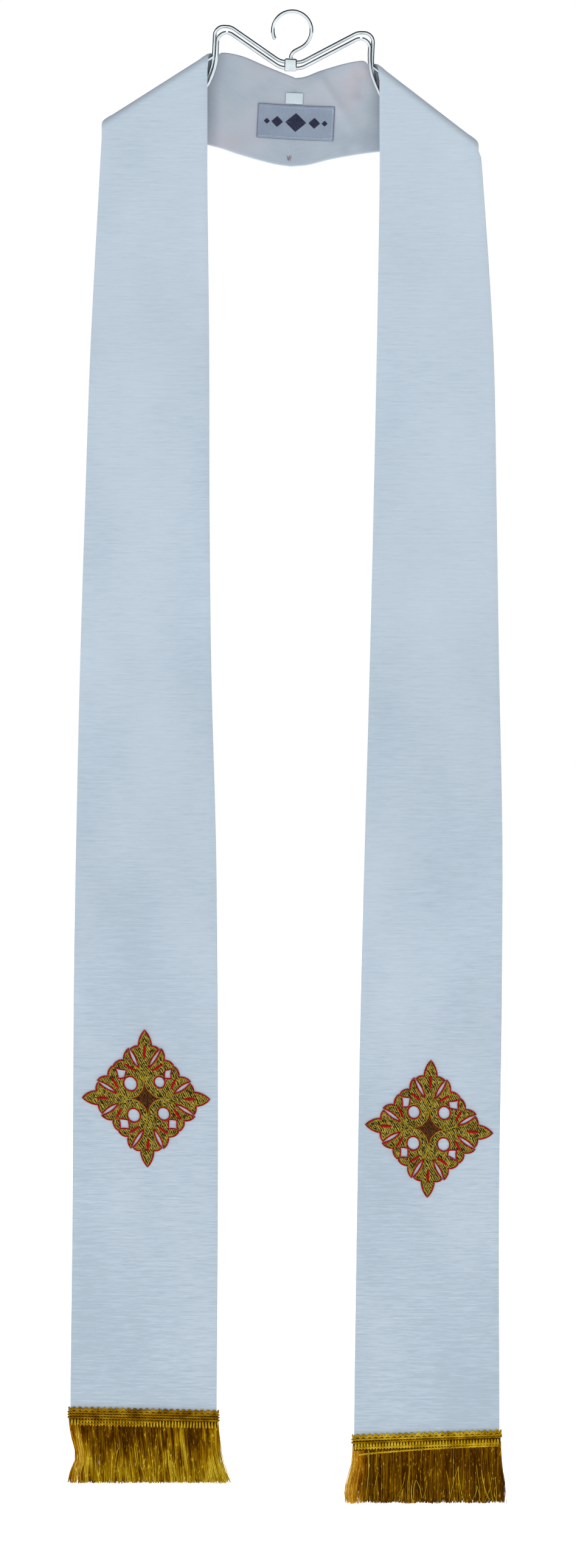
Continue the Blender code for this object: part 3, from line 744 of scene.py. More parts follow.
def woven_label(name, pitch, shades):
    """Satin ribbon: fine ribs across it and a soft shine."""
    made, tree, shader = start_material(name, 0.42)
    place = cloth_place(tree, "cloth")
    threads = grain(tree, place, (1100.0, 160.0, 1.0), 2.0, 0.6)
    clouds = grain(tree, place, (36.0, 50.0, 1.0), 1.0)
    tone = mixed(tree, ((threads, 0.5), (clouds, 0.5)))
    paint(tree, tone, shader.inputs["Base Color"], (0.34, 0.66), shades)
    link_range(tree, threads, shader.inputs["Roughness"], 0.32, 0.5)
    relief = mixed(tree, ((ribs(tree, place, "Y", pitch), 0.5), (threads, 0.5)))
    link_relief(tree, shader, relief, 0.00012, 0.7)
    return made


def sewing_thread(name, shades):
    """Matt sewing thread, a little fuzzy."""
    made, tree, shader = start_material(name, 0.6)
    fuzz = grain(tree, object_place(tree), (1500.0, 1500.0, 1500.0), 2.0, 0.7)
    paint(tree, fuzz, shader.inputs["Base Color"], (0.36, 0.64), shades)
    link_relief(tree, shader, fuzz, 0.0001, 0.7)
    return made


def chrome_wire():
    """Plated wire: drawn marks along it and a faint haze."""
    made, tree, shader = start_material("chrome_plated_wire", 0.14, Metallic=1.0)
    place = object_place(tree)
    haze = grain(tree, place, (60.0, 60.0, 60.0), 3.0)
    marks = grain(tree, place, (1500.0, 1500.0, 90.0), 2.0, 0.7)
    paint(tree, haze, shader.inputs["Base Color"], (0.35, 0.65), ((190, 196, 200), (214, 220, 224)))
    link_range(tree, mixed(tree, ((haze, 0.6), (marks, 0.4))), shader.inputs["Roughness"], 0.07, 0.24)
    link_relief(tree, shader, marks, 0.00003, 0.5)
    return made


# Shades from dark to light, each as red, green and blue from 0 to 255.
PLAIN_STRANDS = ((40, 16, 0), (92, 54, 0), (142, 98, 2), (186, 152, 8), (228, 204, 60))
ORANGE_STRANDS = ((50, 20, 0), (112, 62, 2), (176, 114, 8), (216, 158, 34), (240, 204, 96))
GOLD_GLOSS = colour(255, 214, 90)
GOLD_CORDS = {
    "dark_cord": ("gold_braid_cord", (74, 40, 0), (146, 102, 2), (222, 180, 36)),
    "light_cord": ("bright_gold_cord", (122, 84, 0), (196, 156, 8), (250, 222, 72)),
    "tape": ("braid_backing_tape", (34, 16, 0), (62, 36, 0), (92, 62, 4)),
    "yellow_cord": ("yellow_couched_cord", (104, 80, 0), (160, 134, 10), (210, 182, 54)),
}
THREADS = {
    "selvedge": ("dark_label_edge", (74, 84, 106), (100, 112, 136)),
    "pale_thread": ("pale_label_thread", (180, 194, 214), (214, 224, 238)),
    "navy_thread": ("navy_woven_thread", (12, 18, 44), (34, 42, 78)),
    "tack_thread": ("rose_tack_thread", (136, 100, 102), (170, 146, 148)),
}
# Embroidery also has its specks to the metre, its relief and how far apart its shades lie. The light
# specks are partly painted highlights.
STITCHES = {
    "gold_stitch": (
        ("gold_embroidery_stitch", 480.0, 0.0006, 0.055),
        ((34, 26, 0), (70, 57, 0), (174, 154, 60)),
    ),
    "brown_stitch": (
        ("brown_embroidery_stitch", 700.0, 0.0003, 0.15),
        ((26, 8, 0), (60, 30, 0), (100, 60, 16)),
    ),
    "red_stitch": (
        ("red_embroidery_stitch", 900.0, 0.0002, 0.15),
        ((112, 0, 2), (152, 0, 6), (192, 10, 16)),
    ),
    "red_outline": (
        ("dark_red_outline_cord", 900.0, 0.0002, 0.15),
        ((100, 0, 8), (150, 4, 18), (194, 24, 34)),
    ),
}
# Ribbons also have the pitch of their ribs.
RIBBONS = {
    "label": ("grey_blue_ribbon", 0.0004, (134, 149, 170), (150, 164, 184)),
    "care": ("white_ribbon", 0.0003, (206, 221, 230), (222, 234, 241)),
}


def make_materials():
    made = {
        "face": face_cloth(),
        "lining": lining_cloth(),
        "strands": gold_strands(),
        "chrome": chrome_wire(),
    }
    for key, (name, *shades) in GOLD_CORDS.items():
        made[key] = gold_cord(name, shades)
    for key, (name, *shades) in THREADS.items():
        made[key] = sewing_thread(name, shades)
    for key, (settings, shades) in STITCHES.items():
        made[key] = embroidery(*settings, shades)
    for key, (name, pitch, *shades) in RIBBONS.items():
        made[key] = woven_label(name, pitch, shades)
    return made


# Small tools for making pieces


def deselect():
    bpy.ops.object.select_all(action="DESELECT")


def choose(made):
    deselect()
    made.select_set(True)
    bpy.context.view_layer.objects.active = made


def link_new(name, data):
    made = bpy.data.objects.new(name, data)
    bpy.context.scene.collection.objects.link(made)
    return made


def as_mesh(made, matrix=None):
    """Turns a curve into a mesh, and puts its place into the mesh."""
    choose(made)
    bpy.ops.object.convert(target="MESH")
    made = bpy.context.object
    if matrix is not None:
        made.data.transform(matrix)
    return made


def new_mesh(name, points, faces):
    data = bpy.data.meshes.new(name)
    data.from_pydata(points, [], faces)
    return link_new(name, data)


def tidy_surface(made, merge=True):
    """Turns every face outwards, after merging doubled points if asked to."""
    choose(made)
    bpy.ops.object.mode_set(mode="EDIT")
    bpy.ops.mesh.select_all(action="SELECT")
    if merge:
        bpy.ops.mesh.remove_doubles(threshold=MERGE_DISTANCE)
    bpy.ops.mesh.normals_make_consistent(inside=False)
    bpy.ops.object.mode_set(mode="OBJECT")


def cover(made, *materials):
    made.data.materials.clear()
    for item in materials:
        made.data.materials.append(item)


def joined(name, parts):
    deselect()
    for part in parts:
        part.select_set(True)
    bpy.context.view_layer.objects.active = parts[0]
    if len(parts) > 1:
        bpy.ops.object.join()
    made = bpy.context.view_layer.objects.active
    made.name = name
    made.data.name = name
    return made


def finished(made, replaced=(), smooth_angle=50.0):
    """Scales a piece to metres, smooths it, and hangs it on the model."""
    made.data.transform(Matrix.Scale(MILLIMETRE, 4))
    choose(made)
    bpy.ops.object.shade_smooth_by_angle(angle=math.radians(smooth_angle))
    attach(made, "root")
    if replaced:
        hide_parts(*replaced)
    return made


def cord(name, lines, radius, sides=8, closed=False, matrix=None):
    """Round cords along a few lines, as one mesh."""
    data = bpy.data.curves.new(name, "CURVE")
    data.dimensions = "3D"
    data.bevel_depth = radius
    data.bevel_resolution = (sides - 4) // 2
    data.use_fill_caps = not closed
    for line in lines:
        spline = data.splines.new("POLY")
        spline.points.add(len(line) - 1)
        spline.points.foreach_set("co", [c for p in line for c in (*p, 1.0)])
        spline.use_cyclic_u = closed
    made = as_mesh(link_new(name, data), matrix)
    tidy_surface(made)
    return made


def bead(name, half_sizes, segments=8, rings=6):
    """A lens of thread, modelled once and then copied."""
    deselect()
    bpy.ops.mesh.primitive_uv_sphere_add(segments=segments, ring_count=rings, radius=1.0)
    made = bpy.context.object
    made.name = name
    bpy.ops.object.mode_set(mode="EDIT")
    bpy.ops.mesh.select_all(action="SELECT")
    bpy.ops.transform.resize(value=half_sizes)
    bpy.ops.object.mode_set(mode="OBJECT")
    return made


def bridged(rings):
    """Faces between each ring of point numbers and the next one."""
    faces = []
    for ring, following in zip(rings, rings[1:]):
        for index in range(len(ring)):
            after = (index + 1) % len(ring)
            faces.append((ring[index], ring[after], following[after], following[index]))
    return faces


def copies(model, matrices):
    """One copy of the model for each matrix. The model itself is removed."""
    made = []
    for matrix in matrices:
        data = model.data.copy()
        data.transform(matrix)
        made.append(link_new(model.name, data))
    bpy.data.objects.remove(model)
    return made


# Lines and curves


def smooth_step(value, low, high):
    share = min(1.0, max(0.0, (value - low) / (high - low)))
    return share * share * (3.0 - 2.0 * share)


def along(points, share):
    """The point at that share of a line through a few points."""
    points = [Vector(p) for p in points]
    lengths = [(b - a).length for a, b in zip(points, points[1:])]
    target = share * sum(lengths)
    for start, end, length in zip(points, points[1:], lengths):
        if target <= length:
            return start.lerp(end, target / length)
        target -= length
    return points[-1]


def smooth_line(points, steps=8):
    """A Catmull-Rom curve through the points, as a finer line."""
    points = [Vector(p) for p in points]
    ends = [2 * points[0] - points[1], *points, 2 * points[-1] - points[-2]]
    line = []
    for before, start, end, after in zip(ends, ends[1:], ends[2:], ends[3:]):
        for step in range(steps):
            t = step / steps
            line.append(
                0.5
                * (
                    2 * start
                    + (end - before) * t
                    + (2 * before - 5 * start + 4 * end - after) * t * t
                    + (3 * start - before - 3 * end + after) * t**3
                )
            )
    return [*line, points[-1]]


def even_line(points, spacing):
    """The same line, with its points evenly spaced."""
    lengths = [(b - a).length for a, b in zip(points, points[1:])]
    count = max(2, round(sum(lengths) / spacing))
    step = sum(lengths) / count
    line, travelled, index = [], 0.0, 0
    for number in range(count + 1):
        target = min(number * step, sum(lengths))
        while index < len(lengths) - 1 and travelled + lengths[index] < target:
            travelled += lengths[index]
            index += 1
        line.append(points[index].lerp(points[index + 1], (target - travelled) / lengths[index]))
    return line


def reading(table, place):
    """The value at a place in a table of (place, value), on straight lines between rows."""
    for (low, first), (high, second) in zip(table, table[1:]):
        if place <= high:
            return first + (second - first) * max(0.0, (place - low) / (high - low))
    return table[-1][1]


def twisted(line, lay_radius, pitch, out):
    """The two plies of a cord that twists along a line. Out is the side it is seen from."""
    plies = [[], []]
    travelled = 0.0
    for index, point in enumerate(line):
        before, after = line[max(0, index - 1)], line[min(len(line) - 1, index + 1)]
        forward = (after - before).normalized()
        aside = forward.cross(out).normalized()
        outward = aside.cross(forward)
        if index:
            travelled += (point - line[index - 1]).length
        for ply, start in enumerate((0.0, math.pi)):
            angle = start + 2 * math.pi * travelled / pitch
            offset = outward * math.cos(angle) + aside * math.sin(angle)
            plies[ply].append(point + offset * lay_radius)
    return plies


# Cloth


def hang(across, up, depth=0.0):
    """A point of the hanger's own frame, turned with the hanger."""
    turn = Matrix.Rotation(HANGER_TILT, 3, "Y")
    return turn @ Vector((across, depth, up))


def ridge(half):
    """Neck point, shoulder corner, direction outwards and direction up from the ridge."""
    fold = FOLDS[half]
    side = fold["side"]
    apex = hang(0.0, RIDGE_APEX_RISE)
    outwards = hang(side * math.cos(ARM_SLOPE), -math.sin(ARM_SLOPE))
    above = hang(side * math.sin(ARM_SLOPE), math.cos(ARM_SLOPE))
    reach = [(side * fold[key] - apex.x) / outwards.x for key in ("neck_x", "shoulder_x")]
    neck, shoulder = (apex + outwards * r for r in reach)
    return neck, shoulder, outwards, above


def front_edge(half, edge, drop):
    """How far across a front panel's edge lies at that drop."""
    column = FRONT_COLUMNS.index(f"{half}_{edge}")
    rows = [(row[0], row[column]) for row in FRONT_EDGES]
    line = smooth_line([(d, x, 0.0) for d, x in rows], steps=4)
    for low, high in zip(line, line[1:]):
        if low.x <= drop <= high.x:
            share = (drop - low.x) / (high.x - low.x)
            return FOLDS[half]["side"] * (low.y + (high.y - low.y) * share)
    nearest = line[0] if drop < line[0].x else line[-1]
    return FOLDS[half]["side"] * nearest.y


def front_sway(half, across, drop):
    """How far a front panel hangs behind its plane. The emblem and braid hold it flat."""
    above = EMBLEMS[half]["drop"] - EMBLEM_STILL_HALF
    below = EMBLEMS[half]["drop"] + EMBLEM_STILL_HALF
    hem = HEMS[half]["outer"]
    upper = smooth_step(drop, 180.0, 330.0) * (1.0 - smooth_step(drop, above - 110.0, above))
    lower = smooth_step(drop, below, below + 50.0) * (1.0 - smooth_step(drop, hem - 60.0, hem - 6.0))
    lean = 2.0 * across - 1.0
    phase = CHANCES[half]["sway"]
    long_wave = LONG_WAVE_DEPTH * math.sin(2 * math.pi * drop / LONG_WAVE_LENGTH + phase)
    twist = TWIST_DEPTH * lean * math.sin(2 * math.pi * drop / TWIST_LENGTH + 2.0 * phase)
    crown = CROWN_DEPTH * lean * lean
    return upper * (long_wave + twist + crown) + lower * (0.9 * crown + 0.5 * twist)


def front_ripple(half, across, drop):
    """Small soft unevenness of the hanging cloth, strongest along its edges."""
    emblem = EMBLEMS[half]["drop"]
    still = smooth_step(abs(drop - emblem), 58.0, 80.0)
    still *= 1.0 - smooth_step(drop, HEMS[half]["outer"] - 30.0, HEMS[half]["outer"] - 4.0)
    seed = CHANCES[half]["ripple"]
    broad = noise.noise(Vector((across * 1.7, drop / 85.0, seed)))
    edge = noise.noise(Vector((across * 4.0, drop / 26.0, seed + 5.0)))
    lean = abs(2.0 * across - 1.0) ** 4
    return still * (BROAD_RIPPLE * broad + EDGE_RIPPLE * lean * edge)


def fold_depth(folds, x, z):
    """How deep a set of folds is at a point of the neck."""
    depth = 0.0
    for x0, z0, x1, z1, half_width, fold in folds:
        start, run = Vector((x0, z0)), Vector((x1 - x0, z1 - z0))
        t = (Vector((x, z)) - start).dot(run) / run.length_squared
        off = (Vector((x, z)) - start - run * t).length / half_width
        ends = smooth_step(t, -0.3, 0.2) * (1.0 - smooth_step(t, 0.8, 1.3))
        depth += fold * ends * math.exp(-off * off)
    return depth


def neck_depth(x, z):
    """How far the back of the neck stands behind the fold's middle plane."""
    share = min(1.0, abs(x) / NECK_BOW_HALF_WIDTH)
    depth = NECK_BOW * math.cos(share * math.pi / 2) ** 2
    depth += fold_depth(NECK_FOLDS, x, z)
    calm = 1.0 - smooth_step(abs(x), 60.0, 74.0)
    ripple = NECK_RIPPLE * noise.noise(Vector((x / 17.0, z / 23.0, 7.0)))
    return depth + calm * (fold_depth(NECK_CREASES, x, z) + ripple)


def seam_x(z):
    """How far across the centre seam lies at a height."""
    share = (z - SEAM_TOP[1]) / (SEAM_BOTTOM[1] - SEAM_TOP[1])
    return SEAM_TOP[0] + (SEAM_BOTTOM[0] - SEAM_TOP[0]) * share


def seam_valley(x, z):
    """How far the lining sinks into the seam at the centre back."""
    off = (x - seam_x(z)) / SEAM_VALLEY_WIDTH
    return SEAM_VALLEY * math.exp(-off * off)


def front_rows(half):
    """Rows from the hem up to the fold, as (inner end, outer end) in (x, drop)."""
    neck, shoulder = fold_row(half, 0.0)
    hem = HEMS[half]
    inner_top, outer_top = -neck.z, -shoulder.z
    below_top = BRAID_HEIGHT - HEM_ABOVE_BRAID_FOOT
    inner_hem, outer_hem = hem["inner"] + below_top, hem["outer"] + below_top
    braid = hem["inner"] - 5.0
    count = math.ceil((inner_hem - inner_top) / FRONT_ROW_PITCH)
    rows = []
    for index in range(count):
        inner = inner_hem + (inner_top - inner_hem) * index / count
        slant = (outer_top - inner_top) * (1.0 - smooth_step(inner, inner_top, ROWS_SQUARE_DROP))
        square = smooth_step(inner, braid - 110.0, braid)
        outer = inner + slant + (outer_hem - inner_hem) * square
        ends = (front_edge(half, "inner", inner), inner), (front_edge(half, "outer", outer), outer)
        rows.append(ends)
    return rows


def fold_row(half, angle):
    """The fold's axis between the panel's two edges, which slip along it as they turn."""
    neck, shoulder, outwards, above = ridge(half)
    slip = MIDDLE_LAYER * (math.pi / 2 - angle) * abs(outwards.z / outwards.x)
    return [end - above * FACE_OUTER + outwards * slip for end in (neck, shoulder)]


def neck_rows(half):
    """Rows from the fold back to the centre seam, as pairs of (x, z)."""
    neck, shoulder = fold_row(half, math.pi)
    top = smooth_line([(neck.x, neck.z), *NECK_TOP[half], SEAM_TOP])
    bottom = smooth_line([(shoulder.x, shoulder.z), *NECK_BOTTOM[half], SEAM_BOTTOM])
    shares = [(index + 1) / NECK_ROWS for index in range(NECK_ROWS)]
    return [(along(top, share), along(bottom, share)) for share in shares]


def cloth_rows(half):
    """Every row from the hem to the centre seam: two ends, depth, outward side, angle turned."""
    rows = []

    def front_depth(point, across):
        return front_sway(half, across, -point.z) + front_ripple(half, across, -point.z)

    def no_depth(point, across):
        return 0.0

    def back_depth(point, across):
        return neck_depth(point.x, point.z)

    for (x0, drop0), (x1, drop1) in front_rows(half):
        ends = Vector((x0, 0, -drop0)), Vector((x1, 0, -drop1))
        rows.append((*ends, front_depth, Vector((0, -1, 0)), 0.0))
    above = ridge(half)[3]
    for step in range(ROLL_STEPS + 1):
        angle = math.pi * step / ROLL_STEPS
        normal = Vector((0, -math.cos(angle), 0)) + above * math.sin(angle)
        rows.append((*fold_row(half, angle), no_depth, normal, angle))
    for top, bottom in neck_rows(half):
        ends = Vector((top.x, 0, top.y)), Vector((bottom.x, 0, bottom.y))
        rows.append((*ends, back_depth, Vector((0, 1, 0)), math.pi))
    return rows


def laid_flat(half, point, angle):
    """Where a point of the hanging cloth lies when the cloth is opened out flat."""
    above = ridge(half)[3]
    behind = 0.0
    if angle == math.pi:
        behind = -(point - fold_row(half, math.pi)[0]).dot(above)
    flat = point + above * (2 * behind + MIDDLE_LAYER * angle)
    return flat.x * MILLIMETRE, flat.z * MILLIMETRE


def shell_section(width, edge):
    """A cloth's closed section, as (distance across, out from the fold's middle)."""
    outer, inner = edge[0][1], edge[-1][1]
    first, last = edge[0][0], edge[-1][0]
    steps = range(1, CLOTH_COLUMNS)
    front = [(first + (width - 2 * first) * step / CLOTH_COLUMNS, outer) for step in steps]
    back = [(last + (width - 2 * last) * step / CLOTH_COLUMNS, inner) for step in reversed(steps)]
    far = [(width - place, out) for place, out in edge]
    return [*reversed(edge), *front, *far, *back]


def turning_rise(width, place, out):
    """The turned-in edge lies double inside, so the face stands a little higher over it."""
    if out < TURNING_LIFTS_FROM:
        return 0.0
    from_edge = min(place, width - place)
    full = smooth_step(from_edge, 0.5, 2.5)
    past = smooth_step(from_edge, TURNING_WIDTH - 2.0, TURNING_WIDTH + 2.0)
    return TURNING_RISE * full * (1.0 - past)


def seam_shift(half, point, normal):
    """Near the centre seam the lining sinks back into the seam."""
    if normal.y < 0.99:
        return 0.0
    return seam_valley(point.x, point.z)


def cloth_shell(name, half, edge, is_lining):
    """A closed shell of cloth, from the hem up over the fold and back to the centre seam."""
    points, maps, rings = [], [], []
    for start, end, depth_at, normal, angle in cloth_rows(half):
        width = (end - start).length
        ring = []
        for place, out in shell_section(width, edge):
            across = place / width
            point = start.lerp(end, across)
            maps.append(laid_flat(half, point, angle))
            out += turning_rise(width, place, out)
            shift = depth_at(point, across)
            if is_lining:
                shift += seam_shift(half, point, normal)
            ring.append(len(points))
            points.append(point + Vector((0, shift, 0)) + normal * out)
        rings.append(ring)
    made = new_mesh(name, points, bridged(rings) + end_cap(rings[0]) + end_cap(rings[-1]))
    write_map(made.data, "cloth", maps)
    tidy_surface(made, merge=False)
    return made


def end_cap(ring):
    """Closes a cloth's end with a strip of faces between its front and its back."""
    size = len(ring)
    faces = []
    low, high = 0, size - 1
    while high - low > 2:
        faces.append((ring[low], ring[low + 1], ring[high - 1], ring[high]))
        low, high = low + 1, high - 1
    if high - low == 2:
        faces.append((ring[low], ring[low + 1], ring[high]))
    return faces


def write_map(data, name, maps):
    layer = data.uv_layers.new(name=name)
    corners = [0] * len(data.loops)
    data.loops.foreach_get("vertex_index", corners)
    layer.data.foreach_set("uv", [value for corner in corners for value in maps[corner]])


def make_cloth(half, finishes):
    face = cloth_shell(f"face_cloth_{half}", half, FACE_EDGE, False)
    cover(face, finishes["face"])
    finished(face, (f"face_{half}", f"back_face_{half}"))
    lining = cloth_shell(f"lining_cloth_{half}", half, LINING_EDGE, True)
    cover(lining, finishes["lining"])
    finished(lining, (f"lining_{half}", f"back_lining_{half}"))
    return face, lining


# Braid and fringe


def braid_ends(half):
    """The braid's two ends on the front, at the viewer's left and right."""
    hem = HEMS[half]
    inner = front_edge(half, "inner", hem["inner"])
    outer = front_edge(half, "outer", hem["outer"])
    return sorted((inner, outer))


def braid_top(half, x):
    """Height of the braid's top edge."""
    low, high = braid_ends(half)
    hem = HEMS[half]
    ends = (hem["outer"], hem["inner"]) if half == "left" else (hem["inner"], hem["outer"])
    share = min(1.0, max(0.0, (x - low) / (high - low)))
    return -(ends[0] + (ends[1] - ends[0]) * share)


def round_the_hem(half, standing_out, starts=PAST_START, ends=PAST_END):
    """A line round the front of the hem and a little way behind it, as (x, y)."""
    low, high = braid_ends(half)
    middle_y = -MIDDLE_LAYER
    radius = (FACE_OUTER - LINING_INNER) / 2 + BRAID_CLEARANCE + standing_out
    if starts >= 0.0:
        first = [Vector((low + (high - low) * starts, middle_y - radius))]
    else:
        first = turned_end(low + 1.0, middle_y, radius, -1)
    if ends <= 1.0:
        last = [Vector((low + (high - low) * ends, middle_y - radius))]
    else:
        last = list(reversed(turned_end(high - 1.0, middle_y, radius, 1)))
    return [*first, *last]


def turned_end(x, y, radius, side):
    """From behind the hem, round its side edge to the front."""
    line = [Vector((x - side * BRAID_RETURN, y + radius))]
    for step in range(9):
        angle = math.pi / 2 - math.pi * step / 8
        line.append(Vector((x + side * radius * math.cos(angle), y + radius * math.sin(angle))))
    return line


def hem_line(half, standing_out, drops, spacing, starts=PAST_START, ends=PAST_END):
    """A line round the hem at a drop below the braid's top edge, which may slant."""
    low, high = braid_ends(half)
    flat = even_line(round_the_hem(half, standing_out, starts, ends), spacing)
    line = []
    for point in flat:
        share = min(1.0, max(0.0, (point.x - low) / (high - low)))
        drop = drops[0] + (drops[1] - drops[0]) * share
        line.append(Vector((point.x, point.y, braid_top(half, point.x) - drop)))
    return line


def braid_cord(half, row, number, finishes):
    drop_left, drop_right, starts, ends, tint = row
    line = hem_line(half, CORD_STANDING, (drop_left, drop_right), CORD_STEP, starts, ends)
    if drop_left - drop_right > SLANT_THAT_BOWS:
        low, high = braid_ends(half)
        for point in line:
            share = (point.x - low) / (high - low)
            point.z += CORD_BOW * math.sin(math.pi * share)
    plies = twisted(line, CORD_LAY_RADIUS, CORD_PITCH, TOWARDS_VIEWER)
    made = cord(f"cord_{half}_{number}", plies, CORD_PLY_RADIUS, sides=6)
    cover(made, finishes[f"{tint}_cord"])
    return made


def picot_cord(half, finishes):
    """The scalloped top edge: thin cords that rise into a pair of small arches at each scallop."""
    low, high = braid_ends(half)
    pitch = (high - low) / SCALLOPS
    base = hem_line(half, PICOT_STANDING, (PICOT_DROP, PICOT_DROP), PICOT_STEP)
    plies = []
    for rise in PICOT_RISES:
        line, travelled = [], 0.0
        for index, point in enumerate(base):
            if index:
                travelled += (point - base[index - 1]).length
            arch = abs(math.sin(math.pi * travelled / pitch)) ** 0.9
            wobble = 0.2 * noise.noise(Vector((travelled / 4.0, 3.0, 1.0)))
            line.append(point + Vector((0, 0, rise * arch + wobble)))
        plies += twisted(line, PICOT_LAY_RADIUS, PICOT_PITCH, TOWARDS_VIEWER)
    made = cord(f"picots_{half}", plies, PICOT_PLY_RADIUS, sides=6)
    cover(made, finishes[f"{PICOT_TINTS[half]}_cord"])
    return made


def braid_tape(half, finishes):
    """The flat tape behind the cords, as a thin closed band round the hem."""
    low, high = braid_ends(half)
    points, rings = [], []
    for top in hem_line(half, 0.0, (TAPE_DROP, TAPE_DROP), TAPE_STEP):
        core = Vector((min(max(top.x, low + 1.0), high - 1.0), -MIDDLE_LAYER, 0))
        out = Vector((top.x - core.x, top.y - core.y, 0)).normalized()
        rings.append(range(len(points), len(points) + len(TAPE_SECTION)))
        for standing, drop in TAPE_SECTION:
            points.append(top + out * standing - Vector((0, 0, drop)))
    made = new_mesh(f"tape_{half}", points, [*bridged(rings), tuple(rings[0]), tuple(rings[-1])])
    tidy_surface(made)
    cover(made, finishes["tape"])
    return made


def braid_loops(half, finishes):
    """The row of upright loops that the strands hang from."""
    top_drop, foot_drop = LOOP_ROWS[half]
    height = (foot_drop - top_drop) / 2
    model = bead(f"loop_{half}", (LOOP_HALF_WIDTH[half], LOOP_HALF_DEPTH, height), rings=8)
    low, high = braid_ends(half)
    middle = (top_drop + foot_drop) / 2
    places = []
    chance = random.Random(CHANCES[half]["loops"])
    for number in range(LOOPS):
        x = low + (high - low) * (number + 0.5) / LOOPS
        y = -FACE_OUTER - BRAID_CLEARANCE - LOOP_STANDING
        z = braid_top(half, x) - middle
        tilt = Matrix.Rotation(math.radians(chance.uniform(-5.0, 5.0)), 4, "Y")
        places.append(Matrix.Translation((x, y, z)) @ tilt)
    made = joined(f"loops_{half}", copies(model, places))
    cover(made, finishes["light_cord"])
    return made


def strand_line(root, tip, bow, wave, phase):
    """A strand from its root to its tip, bowed to one side and slightly wavy."""
    line = []
    for ring in range(STRAND_RINGS):
        t = ring / (STRAND_RINGS - 1)
        point = root.lerp(tip, t)
        point.x += bow * math.sin(math.pi * t) + wave * math.sin(phase + 5.0 * t) * t
        line.append(point)
    return line


def end_drift(half, share, t):
    """How far a strand near an end of the fringe drifts sideways on its way down."""
    start = max(0.0, 1.0 - share / END_REACH) ** 1.5
    end = max(0.0, 1.0 - (1.0 - share) / END_REACH) ** 1.5
    tables = STRAND_DRIFT[half]
    return start * reading(tables["start"], t) + end * reading(tables["end"], t)


def strand_tone(half, share, t):
    """How much lighter the fringe is at a place along the braid and down the strands."""
    tones = STRAND_TONES[half]
    cloud = noise.noise(Vector((share * 6.0, t * 1.8, CHANCES[half]["clouds"])))
    streak = noise.noise(Vector((share * 46.0, t * 2.4, CHANCES[half]["streaks"])))
    streak += 0.7 * noise.noise(Vector((share * 120.0, t * 4.5, 31.0)))
    tone = tones["clouds"] * cloud + tones["streaks"] * streak + tones["to_tips"] * (t - 0.3)
    aside = (share - SHADOW_MIDDLE[0]) / SHADOW_HALF[0]
    below = (t - SHADOW_MIDDLE[1]) / SHADOW_HALF[1]
    tone -= tones["shadow"] * math.exp(-(aside**2) - below**2)
    tone += tones["left_end"] * (1.0 - smooth_step(share, 0.03, 0.11))
    return tone + tones["right_end"] * smooth_step(share, 0.84, 0.97)


def strand_warmth(half, share, chance):
    """How orange a strand is: most at the left end of each fringe."""
    at_left = 1.0 - smooth_step(share, 0.04, 0.12)
    if half == "left":
        return 0.5 * at_left + chance.uniform(0.0, 0.15)
    return 0.15 + 0.85 * at_left + chance.uniform(-0.15, 0.15)


def fringe_strands(half):
    """Every strand as (line, radius, shades, warmth), spread along the braid and in depth."""
    chance = random.Random(CHANCES[half]["strands"])
    low, high = braid_ends(half)
    tips = -HEMS[half]["tips"]
    seed = CHANCES[half]["lean"]
    down = [ring / (STRAND_RINGS - 1) for ring in range(STRAND_RINGS)]
    strands = []
    for number in range(STRANDS):
        share = (number + chance.random()) / STRANDS
        x = low + (high - low) * share + BEYOND_ENDS * (2.0 * share - 1.0)
        behind = chance.random()
        root_drop = STRAND_ROOT_DROP if low < x < high else END_ROOT_DROP
        lean = 2.4 * noise.noise(Vector((share * 6.0, 2.0, seed)))
        lean += 1.2 * noise.noise(Vector((share * 34.0, 6.0, seed))) + chance.gauss(0.0, 1.0)
        lean += STRAND_LEAN[half] * math.sin(math.pi * share)
        uneven = 0.9 * noise.noise(Vector((share * 12.0, 1.0, seed)))
        uneven += chance.uniform(-1.5, 2.2) + 0.6 * behind
        root = Vector((x, ROOTS_Y + ROOTS_SPREAD * behind, braid_top(half, x) - root_drop))
        tip = Vector((x + lean, TIPS_Y + TIPS_SPREAD * behind, tips + uneven))
        line = strand_line(root, tip, chance.gauss(0.0, 0.6), 0.4, chance.uniform(0.0, 6.3))
        for point, t in zip(line, down):
            point.x += end_drift(half, share, t)
        # Strands further behind are painted darker: painted shade from the strands in front of them.
        own = STRAND_TONES[half]["middle"] + chance.gauss(0.0, 0.16) - 0.2 * behind
        shades = [own + strand_tone(half, share, t) for t in down]
        strands.append((line, STRAND_RADIUS, shades, strand_warmth(half, share, chance)))
    strands += stray_strands(half, chance, low, high, tips)
    return strands


def stray_strands(half, chance, low, high, tips):
    """A few brighter strands that cross the others in front, mostly low down and to the right."""
    places = [(LONG_STRAY_SHARE, 0.0)] if half == "right" else []
    for _ in range(STRAYS[half]):
        places.append((chance.uniform(0.04, 0.96) ** 0.6, chance.uniform(0.3, 0.75)))
    strands = []
    for share, begin in places:
        x = low + (high - low) * share
        top = braid_top(half, x) - STRAND_ROOT_DROP
        root = Vector((x, -8.3, top + (tips - top) * begin))
        aside = chance.uniform(-14.0, 14.0) * (1.0 - begin)
        tip = Vector((x + aside, -9.0, tips + chance.uniform(0.0, 5.0)))
        line = strand_line(root, tip, chance.uniform(-1.8, 1.8), 0.5, chance.uniform(0.0, 6.3))
        strands.append((line, STRAY_RADIUS, [chance.uniform(0.75, 1.0)] * STRAND_RINGS, 0.25))
    return strands


